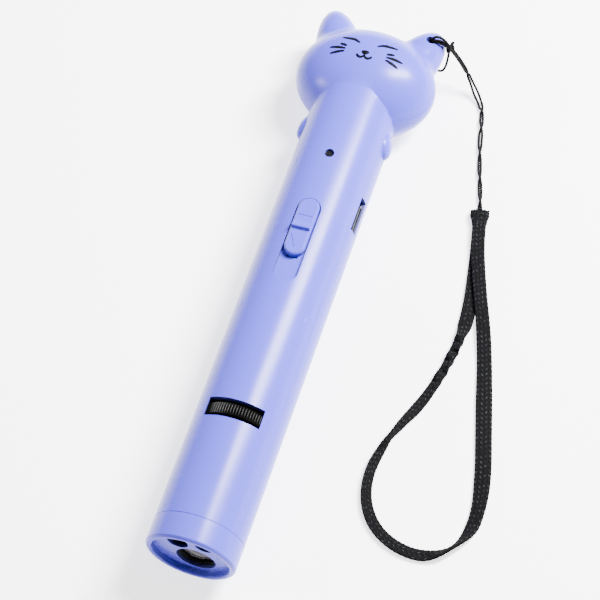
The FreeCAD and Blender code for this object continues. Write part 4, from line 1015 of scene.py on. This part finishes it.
def twined(line, diameter):
    """Two lines wound loosely round each other along a third, each resting on what lies under it."""
    line = evenly(line, 0.4 * MM)
    first, second = [], []
    for number, (point, (_, _, run)) in enumerate(zip(line, carried_frames(line))):
        side = Vector((run.y, -run.x, 0)).normalized()
        up = side.cross(run)
        up = up if up.z > 0 else -up
        at = 50.0 * number / (len(line) - 1)
        turn = math.pi * between(STRAND_TURNS, at)
        apart = diameter * STRAND_ASIDE * between(STRAND_GAP, at)
        for strand, sign in ((first, -1), (second, 1)):
            strand.append(point + side * (math.cos(turn) * sign * apart)
                          + up * (max(0.0, math.sin(turn) * sign) * diameter * STRAND_RISE))
    return first, second


def beside(route, aside):
    """A route's points moved sideways over the surface."""
    moved = []
    for number, point in enumerate(route):
        run = Vector(route[min(number + 1, len(route) - 1)]) - Vector(route[max(number - 1, 0)])
        flat = Vector((run.y, -run.x, 0)).normalized() * aside
        moved.append((point[0] + flat.x, point[1] + flat.y, point[2]))
    return moved


def yarn_height(across, along, pitch):
    """How high the braid stands at a place on the tape: columns of short slanting ridges."""
    column = (across + 1) / 2 * BRAID_COLUMNS
    number = min(BRAID_COLUMNS - 1, int(column))
    inside = column - number
    slant = RIDGE_SLANT if number % 2 else -RIDGE_SLANT
    ridge = (along / pitch + slant * inside + COLUMN_SHIFT * number) % 1.0
    crown = SEAM_HEIGHT + (1 - SEAM_HEIGHT) * math.sin(math.pi * inside) ** 0.5
    return math.sin(math.pi * ridge) ** 0.6 * crown


def outline(width, thickness, around):
    """A soft-edged flat outline: places spread evenly round it, each across and out, from -1 to 1."""
    steps = 720
    fine = []
    for step in range(steps + 1):
        angle = 2 * math.pi * step / steps
        c, s = math.cos(angle), math.sin(angle)
        fine.append(Vector((math.copysign(abs(c) ** 0.45, c) * width / 2,
                            math.copysign(abs(s) ** 0.75, s) * thickness / 2, 0)))
    even = evenly(fine, length_of(fine) / around)
    return [(point.x / width * 2, point.y / thickness * 2) for point in even]


def woven_tape(name, line, width, thickness, material, shape, roll=None, ragged=0.0):
    """A braided tape along a line: a closed band whose ridges are real."""
    sizes = bpy.context.scene.cat_pointer
    fine = evenly(line, sizes.yarn_pitch / 8)
    rings = len(fine)
    bm = bmesh.new()
    bmesh.ops.create_grid(bm, x_segments=TAPE_SIDES, y_segments=rings - 1, size=0.5, calc_uvs=True)
    layer = bm.verts.layers.float.new("yarn")
    uv_layer = bm.loops.layers.uv.active or bm.loops.layers.uv.new("UVMap")
    total = length_of(fine)
    edge = outline(width, thickness, TAPE_SIDES)
    for face in bm.faces:
        for loop in face.loops:
            loop[uv_layer].uv = (loop.vert.co.x + 0.5, (loop.vert.co.y + 0.5) * total / width)
    for vert in bm.verts:
        number = min(rings - 1, max(0, round((vert.co.y + 0.5) * (rings - 1))))
        across, out = edge[round((vert.co.x + 0.5) * TAPE_SIDES) % TAPE_SIDES]
        point = fine[number]
        run = (fine[min(number + 1, rings - 1)] - fine[max(number - 1, 0)]).normalized()
        side = Vector((run.y, -run.x, 0)).normalized()
        up = side.cross(run)
        if up.z < 0:
            up = -up
        along = total * number / (rings - 1)
        turn = math.radians(between(roll, along / MM)) if roll else 0.0
        across_axis = side * math.cos(turn) + up * math.sin(turn)
        thick_axis = up * math.cos(turn) - side * math.sin(turn)
        lift = (abs(math.sin(turn)) * (width - thickness) / 2) * Vector((0, 0, 1))
        relief = yarn_height(across, along, sizes.yarn_pitch)
        vert[layer] = relief
        shrink = sizes.yarn_height * (1 - relief)
        wide = width / 2 * between(shape, along / MM)
        fray = run * (ragged * MM * max(0.0, 1 - along / (1.5 * MM)) * math.sin(across * 8 + out))
        vert.co = (point + lift + fray + across_axis * across * (wide - shrink * abs(across) ** 3)
                   + thick_axis * out * (thickness / 2 - shrink))
    bmesh.ops.remove_doubles(bm, verts=bm.verts, dist=WELD)
    bmesh.ops.holes_fill(bm, edges=[edge for edge in bm.edges if edge.is_boundary], sides=0)
    return from_bmesh(name, bm, material)


class CATPOINTER_OT_strap(bpy.types.Operator):
    """Weave the wrist strap, its sewn end and the stitches through it"""
    bl_idname = "cat_pointer.strap"
    bl_label = "Wrist strap"

    def execute(self, context):
        sizes = context.scene.cat_pointer
        webbing = FINISHES["webbing"]
        half = sizes.strap_thickness / 2
        line = followed([laid(x, y, z) + Vector((0, 0, half)) for x, y, z in STRAP_ROUTE])
        strap = woven_tape("strap_tape", line, sizes.strap_width, sizes.strap_thickness, webbing, STRAP_SHAPE,
                           STRAP_ROLL)
        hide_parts("wrist_strap")
        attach(strap, "root")

        ends = [laid(*point) for point in SEWN_END_ROUTE]
        run = (ends[1] - ends[0]).normalized()
        end = woven_tape("strap_end", evenly([ends[0], ends[1] + run * (2.4 * MM)], 0.15 * MM),
                         sizes.strap_width, sizes.strap_thickness * 2.1, webbing, SEWN_END_SHAPE,
                         ragged=0.12)
        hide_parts("strap_sewn_end")
        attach(end, "root")
        fray = frayed_end(ends[0], run, sizes.strap_width * 0.6)

        bm = bmesh.new()
        side = Vector((run.y, -run.x, 0))
        top = Vector((0, 0, sizes.strap_thickness * 1.02))
        for start in (-1.1, 1.4):
            for number in range(5):
                at = ends[1] + run * (start * MM) + side * ((number - 2) * 0.62 * MM) + top
                lean = run * (0.28 * MM) + side * (0.16 * MM * (-1) ** number)
                rise = Vector((0, 0, 0.1 * MM))
                stitch = [at - lean - rise, at - lean * 0.6 + rise * 0.6, at + rise,
                          at + lean * 0.6 + rise * 0.6, at + lean - rise]
                tube_mesh(bm, evenly(stitch, 0.08 * MM), 0.1 * MM, 8)
        stitches = from_bmesh("strap_stitches", bm, FINISHES["sewing"])
        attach(stitches, "root")
        return {"FINISHED"}


def frayed_end(start, run, reach):
    """Short loose yarns that stand out of the tape's cut end."""
    side = Vector((run.y, -run.x, 0))
    yarns = 22
    bm = bmesh.new()
    for number in range(yarns):
        across = (number / (yarns - 1) * 2 - 1) * reach
        height = math.sin(number * 2.3) * 0.5 * MM
        foot = start + side * across + Vector((0, 0, height)) + run * (0.3 * MM)
        lean = side * (across * 0.12 + math.sin(number * 5.1) * 0.12 * MM)
        far = (0.75 + 0.3 * math.sin(number * 3.7)) * MM
        yarn = [foot, foot - run * (far * 0.6) + lean * 0.4,
                foot - run * far + lean + Vector((0, 0, 0.1 * MM))]
        tube_mesh(bm, followed(yarn), 0.12 * MM, 6)
    fray = from_bmesh("strap_fray", bm, FINISHES["webbing"])
    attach(fray, "root")
    return fray


def on_head(tree, x, y):
    """The point of the face under a place, lifted off it a little."""
    hit, normal, _, _ = tree.ray_cast(spot(x, y, 40), Vector((0, 0, -1)))
    if hit is None:
        raise RuntimeError("the face print falls off the head")
    return hit + normal * INK_LIFT


def ink_film(name, bm):
    """A piece of ink from a sheet on the head: it faces outwards and is a film thick."""
    piece = from_bmesh(name, bm, FINISHES["ink"])
    if piece.data.polygons[0].normal.z < 0:
        piece.data.flip_normals()
    film = piece.modifiers.new("ink film", "SOLIDIFY")
    film.thickness = INK_THICKNESS
    film.offset = 1.0
    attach(piece, "root")


def printed_line(name, tree, points, mirror=1):
    """A line of ink on the head: a narrow grid laid on its surface, pointed at both ends."""
    track = through(points, LINE_STEPS)
    bm = bmesh.new()
    bmesh.ops.create_grid(bm, x_segments=4, y_segments=len(track) - 1, size=0.5, calc_uvs=True)
    for vert in bm.verts:
        number = min(len(track) - 1, round((vert.co.y + 0.5) * (len(track) - 1)))
        x, y, width = track[number]
        ahead, behind = track[min(number + 1, len(track) - 1)], track[max(number - 1, 0)]
        run = Vector((ahead[0] - behind[0], ahead[1] - behind[1], 0)).normalized()
        ends = min(number, len(track) - 1 - number) / TAPER_STEPS
        taper = math.sqrt(min(1.0, ends)) if ends < 1 else 1.0
        offset = vert.co.x * width * taper
        vert.co = on_head(tree, (x + run.y * offset) * mirror, y - run.x * offset)
    weld(bm)
    ink_film(name, bm)


class CATPOINTER_OT_face_print(bpy.types.Operator):
    """Print the sleeping face on the front of the head"""
    bl_idname = "cat_pointer.face_print"
    bl_label = "Face print"

    def execute(self, context):
        shell = bpy.data.objects["front_casing"].data
        tree = BVHTree.FromPolygons([v.co for v in shell.vertices],
                                    [tuple(p.vertices) for p in shell.polygons])
        for side, word in ((1, "right"), (-1, "left")):
            printed_line(word + "_eye_line", tree, EYE_LINE, side)
            for number, whisker in enumerate(WHISKERS, start=1):
                printed_line("%s_whisker_%d" % (word, number), tree, whisker, side)
        printed_line("mouth_line", tree, MOUTH)
        bm = bmesh.new()
        bmesh.ops.create_circle(bm, cap_ends=True, radius=0.5, segments=28)
        bmesh.ops.subdivide_edges(bm, edges=bm.edges, cuts=1, use_grid_fill=True)
        for vert in bm.verts:
            x, y = vert.co.x, vert.co.y
            width = NOSE_PRINT_WIDTH * (1 + 0.5 * y)
            vert.co = on_head(tree, x * width, NOSE_PRINT_PLACE + y * NOSE_PRINT_HEIGHT)
        ink_film("nose_print", bm)
        return {"FINISHED"}


class CATPOINTER_OT_casing(bpy.types.Operator):
    """Smooth the casing, round small edges, rib the wheel and grind the lens"""
    bl_idname = "cat_pointer.casing"
    bl_label = "Casing and what is in it"

    def execute(self, context):
        casing, black = FINISHES["casing"], FINISHES["black_plastic"]
        smooth_casing("front_casing", "front_shell", casing)
        smooth_casing("rear_casing", "rear_shell", casing)
        # The nose ring's hole walls and the inside of its rim get painted shade
        merged_copy("nose_ring", "nose_cap", casing, 25, 0.15, mark_nose_walls)
        merged_copy("knob", "slide_knob", casing, 25, 0.13)
        ribbed_wheel(FINISHES["wheel"])
        ground_lens(FINISHES["lens"])
        merged_copy("lens_retainer", "lens_ring", black)
        merged_copy("optics_block", "optics_holder", black)
        merged_copy("laser_body", "laser_module", FINISHES["brass"])
        merged_copy("uv_lamp_body", "uv_lamp", FINISHES["clear_lamp"])
        lamp_behind_wheel(FINISHES["clear_lamp"])
        merged_copy("bulkhead", "lamp_carrier", black)
        merged_copy("light_window", "indicator_window", FINISHES["smoked"])
        merged_copy("axle_pin", "wheel_axle", FINISHES["steel"])
        merged_copy("cell", "battery", FINISHES["foil"])
        return {"FINISHED"}


def lamp_behind_wheel(material):
    """The white lamp, the tip of its dome ground back to keep clear of the turning wheel."""
    lamp = merged_copy("white_lamp_body", "white_lamp", material)
    wheel_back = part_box("pattern_wheel")[1].y
    for vert in lamp.data.vertices:
        vert.co.y = max(vert.co.y, wheel_back + LAMP_CLEARANCE)


def ground_lens(material):
    """The projection lens: a flat back, a short edge and a domed front."""
    low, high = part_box("projection_lens")
    radius = (high.x - low.x) / 2
    centre = Vector(((low.x + high.x) / 2, low.y, (low.z + high.z) / 2))
    dome = high.y - low.y - LENS_EDGE * MM
    sphere = (radius ** 2 + dome ** 2) / (2 * dome)
    rings = 12
    profile = []
    for step in range(rings + 1):
        out = radius * step / rings
        profile.append((out, sphere - math.sqrt(sphere ** 2 - out ** 2) + LENS_SETBACK * MM))
    profile += [(radius, high.y - low.y), (0.0, high.y - low.y)]
    bm = bmesh.new()
    points = [centre + Vector((out, along, 0)) for out, along in profile]
    spin_outline(bm, points, centre, (0, 1, 0), 64)
    close_seams(bm, 40)
    stands_for(new_piece("lens", bm, material), "projection_lens")


def ribbed_wheel(material):
    """The thumb wheel: its own hub and web, and a rim with fine rounded ribs all round."""
    low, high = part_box("pattern_wheel")
    radius = (high.x - low.x) / 2
    inner = radius - RIM_DEPTH * MM
    axle = Vector(((low.x + high.x) / 2, 0, (low.z + high.z) / 2))
    bm = joined_triangles("pattern_wheel")
    for vert in bm.verts:
        out = Vector((vert.co.x - axle.x, 0, vert.co.z - axle.z))
        if out.length > inner:
            out *= inner / out.length
            vert.co = Vector((axle.x + out.x, vert.co.y, axle.z + out.z))
    weld(bm)
    thick = (high.y - low.y) / MM
    # How far in from the rim, how far along the axle, and how much of a groove is cut there
    profile = ((0.8, 0.0, 0), (0.3, 0.0, 0), (0.12, 0.08, 0.4), (0.0, 0.3, 1), (0.0, thick * 0.35, 1),
               (0.0, thick * 0.65, 1), (0.0, thick - 0.3, 1), (0.12, thick - 0.08, 0.4), (0.3, thick, 0),
               (0.8, thick, 0))
    around = WHEEL_RIBS * 8
    rim = bmesh.ops.create_grid(bm, x_segments=around, y_segments=len(profile) - 1, size=0.5)["verts"]
    for vert in rim:
        inset, along, cut = profile[round((vert.co.y + 0.5) * (len(profile) - 1))]
        turn = vert.co.x + 0.5
        groove = 1 - abs(math.sin(math.pi * WHEEL_RIBS * turn)) ** RIB_ROUNDNESS
        out = radius - (inset + GROOVE_DEPTH * groove * cut) * MM
        angle = 2 * math.pi * turn
        vert.co = Vector((axle.x + math.cos(angle) * out, low.y + along * MM, axle.z + math.sin(angle) * out))
    close_seams(bm, 40)
    stands_for(new_piece("thumb_wheel", bm, material), "pattern_wheel")


def screw_outline(head_radius, length):
    """Half a screw's outline from the middle of its head: a pan head, a ridged shank and its tip."""
    head_length = 1.3 * MM
    shank = 1.0 * MM
    turns = 9
    pitch = (length - head_length) / (turns + 1)
    head = ((0.0, 0.0), (0.55, 0.0), (0.85, 0.12), (0.98, 0.4), (1.0, 1.0))
    profile = [(head_radius * out, head_length * along) for out, along in head]
    profile.append((shank, head_length))
    for turn in range(turns):
        base = head_length + (length - head_length) * (turn + 0.2) / (turns + 1)
        for out, along in ((0.78, 0.0), (1.0, 0.35), (0.78, 0.7)):
            profile.append((shank * out, base + pitch * along))
    profile.append((0, length))
    return profile


def recess_cutter(places, head_radius):
    """Two tapered blades across each screw's head, as one object that is only cut with."""
    bm = bmesh.new()
    for place, centre in zip(SCREW_PLACES, places):
        for turn in (0, 1):
            made = bmesh.ops.create_cube(bm, size=1.0)["verts"]
            scale = Matrix.Diagonal((head_radius * 1.25, head_radius * 0.26, 1.6 * MM, 1.0))
            bmesh.ops.transform(bm, verts=made, matrix=Matrix.Translation(centre)
                                @ Matrix.Rotation(math.pi / 2 * turn + place, 4, "Z") @ scale)
            for vert in made:
                if vert.co.z > centre.z:
                    vert.co.xy = centre.xy + (vert.co.xy - centre.xy) * 0.45
    mesh = bpy.data.meshes.new("recess")
    bm.to_mesh(mesh)
    bm.free()
    recess = bpy.data.objects.new("recess", mesh)
    bpy.context.scene.collection.objects.link(recess)
    return recess


class CATPOINTER_OT_case_screws(bpy.types.Operator):
    """Turn the three cross-recessed screws in the back"""
    bl_idname = "cat_pointer.case_screws"
    bl_label = "Case screws"

    def execute(self, context):
        low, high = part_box("case_screws")
        head_radius = (high.x - low.x) / 2
        places = [Vector((0, spot(0, place, 0).y, low.z)) for place in SCREW_PLACES]
        bm = bmesh.new()
        for centre in places:
            points = [centre + Vector((out, 0, along))
                      for out, along in screw_outline(head_radius, high.z - low.z)]
            spin_outline(bm, points, centre, (0, 0, 1), 32)
        close_seams(bm, 40)
        screws = new_piece("screws", bm, FINISHES["steel"])

        recess = recess_cutter(places, head_radius)
        cut = screws.modifiers.new("cross recess", "BOOLEAN")
        cut.operation = "DIFFERENCE"
        cut.object = recess
        cut.use_self = True
        context.view_layer.update()
        baked = bpy.data.meshes.new_from_object(screws.evaluated_get(context.evaluated_depsgraph_get()))
        screws.modifiers.clear()
        screws.data = baked
        bpy.data.objects.remove(recess)
        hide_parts("case_screws")
        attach(screws, "root")
        return {"FINISHED"}


class CATPOINTER_OT_contacts(bpy.types.Operator):
    """Set the five gilt contacts on the charging socket's tongue"""
    bl_idname = "cat_pointer.contacts"
    bl_label = "Charging contacts"

    def execute(self, context):
        low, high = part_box("usb_tongue")
        bm = bmesh.new()
        pitch = (high.y - low.y) / 5.6
        for number in range(CONTACTS):
            made = bmesh.ops.create_cube(bm, size=1.0)["verts"]
            centre = Vector(((low.x + high.x) / 2, (low.y + high.y) / 2 + (number - 2) * pitch, low.z))
            scale = Matrix.Diagonal(((high.x - low.x) * 0.86, pitch * 0.52, 0.12 * MM, 1.0))
            bmesh.ops.transform(bm, matrix=Matrix.Translation(centre) @ scale, verts=made)
        bmesh.ops.bevel(bm, geom=list(bm.edges), offset=0.03 * MM, segments=2, profile=0.5, affect="EDGES",
                        material=-1)
        contacts = from_bmesh("charging_contacts", bm, FINISHES["gold"], False)
        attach(contacts, "root")
        return {"FINISHED"}


class CATPOINTER_OT_lamp_cores(bpy.types.Operator):
    """Set the reflector cup and die in each lamp, and the small lens in the laser's throat"""
    bl_idname = "cat_pointer.lamp_cores"
    bl_label = "Lamp cores"

    def execute(self, context):
        for name, node in (("uv_lamp_core", "uv_lamp"), ("white_lamp_core", "white_lamp")):
            low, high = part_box(node)
            centre = (low + high) / 2
            bm = bmesh.new()
            front = low.y + 3.4 * MM
            profile = ((0.0, 0.9), (0.35, 0.9), (0.9, 0.0), (1.05, 0.0), (1.05, 1.6), (0.35, 2.0),
                       (0.35, 4.0), (0.0, 4.0))
            points = [(centre.x + out * MM, front + along * MM, centre.z) for out, along in profile]
            spin_outline(bm, points, (centre.x, front, centre.z), (0, 1, 0), 24)
            close_seams(bm, 30)
            core = new_piece(name, bm, FINISHES["steel"])
            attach(core, "root")
        low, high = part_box("laser_module")
        centre = (low + high) / 2
        bm = bmesh.new()
        bmesh.ops.create_uvsphere(bm, u_segments=32, v_segments=16, radius=1.15 * MM)
        bmesh.ops.scale(bm, vec=(1, 0.4, 1), verts=bm.verts)
        bmesh.ops.translate(bm, vec=(centre.x, low.y + 1.0 * MM, centre.z), verts=bm.verts)
        lens = from_bmesh("laser_lens", bm, FINISHES["lens"])
        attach(lens, "root")
        return {"FINISHED"}


CLASSES = (CatPointerSettings, CATPOINTER_OT_stage, CATPOINTER_OT_finishes, CATPOINTER_OT_cord,
           CATPOINTER_OT_strap, CATPOINTER_OT_face_print, CATPOINTER_OT_casing, CATPOINTER_OT_case_screws,
           CATPOINTER_OT_contacts, CATPOINTER_OT_lamp_cores)
ORDER = ("stage", "finishes", "cord", "strap", "casing", "face_print", "case_screws", "contacts",
         "lamp_cores")


class CATPOINTER_PT_panel(bpy.types.Panel):
    """The pointer's sizes, colours and pieces"""
    bl_label = "Cat Pointer"
    bl_idname = "CATPOINTER_PT_panel"
    bl_space_type = "VIEW_3D"
    bl_region_type = "UI"
    bl_category = "Cat Pointer"

    def draw(self, context):
        column = self.layout.column()
        for name in CatPointerSettings.__annotations__:
            column.prop(context.scene.cat_pointer, name)
        for name in ORDER:
            column.operator("cat_pointer." + name)


def register():
    for kind in CLASSES:
        bpy.utils.register_class(kind)
    bpy.utils.register_class(CATPOINTER_PT_panel)
    bpy.types.Scene.cat_pointer = bpy.props.PointerProperty(type=CatPointerSettings)


def unregister():
    del bpy.types.Scene.cat_pointer
    bpy.utils.unregister_class(CATPOINTER_PT_panel)
    for kind in reversed(CLASSES):
        bpy.utils.unregister_class(kind)


def main():
    """Make everything in order."""
    register()
    for name in ORDER:
        getattr(bpy.ops.cat_pointer, name)()
    bpy.context.view_layer.update()


if __name__ == "__main__":
    main()
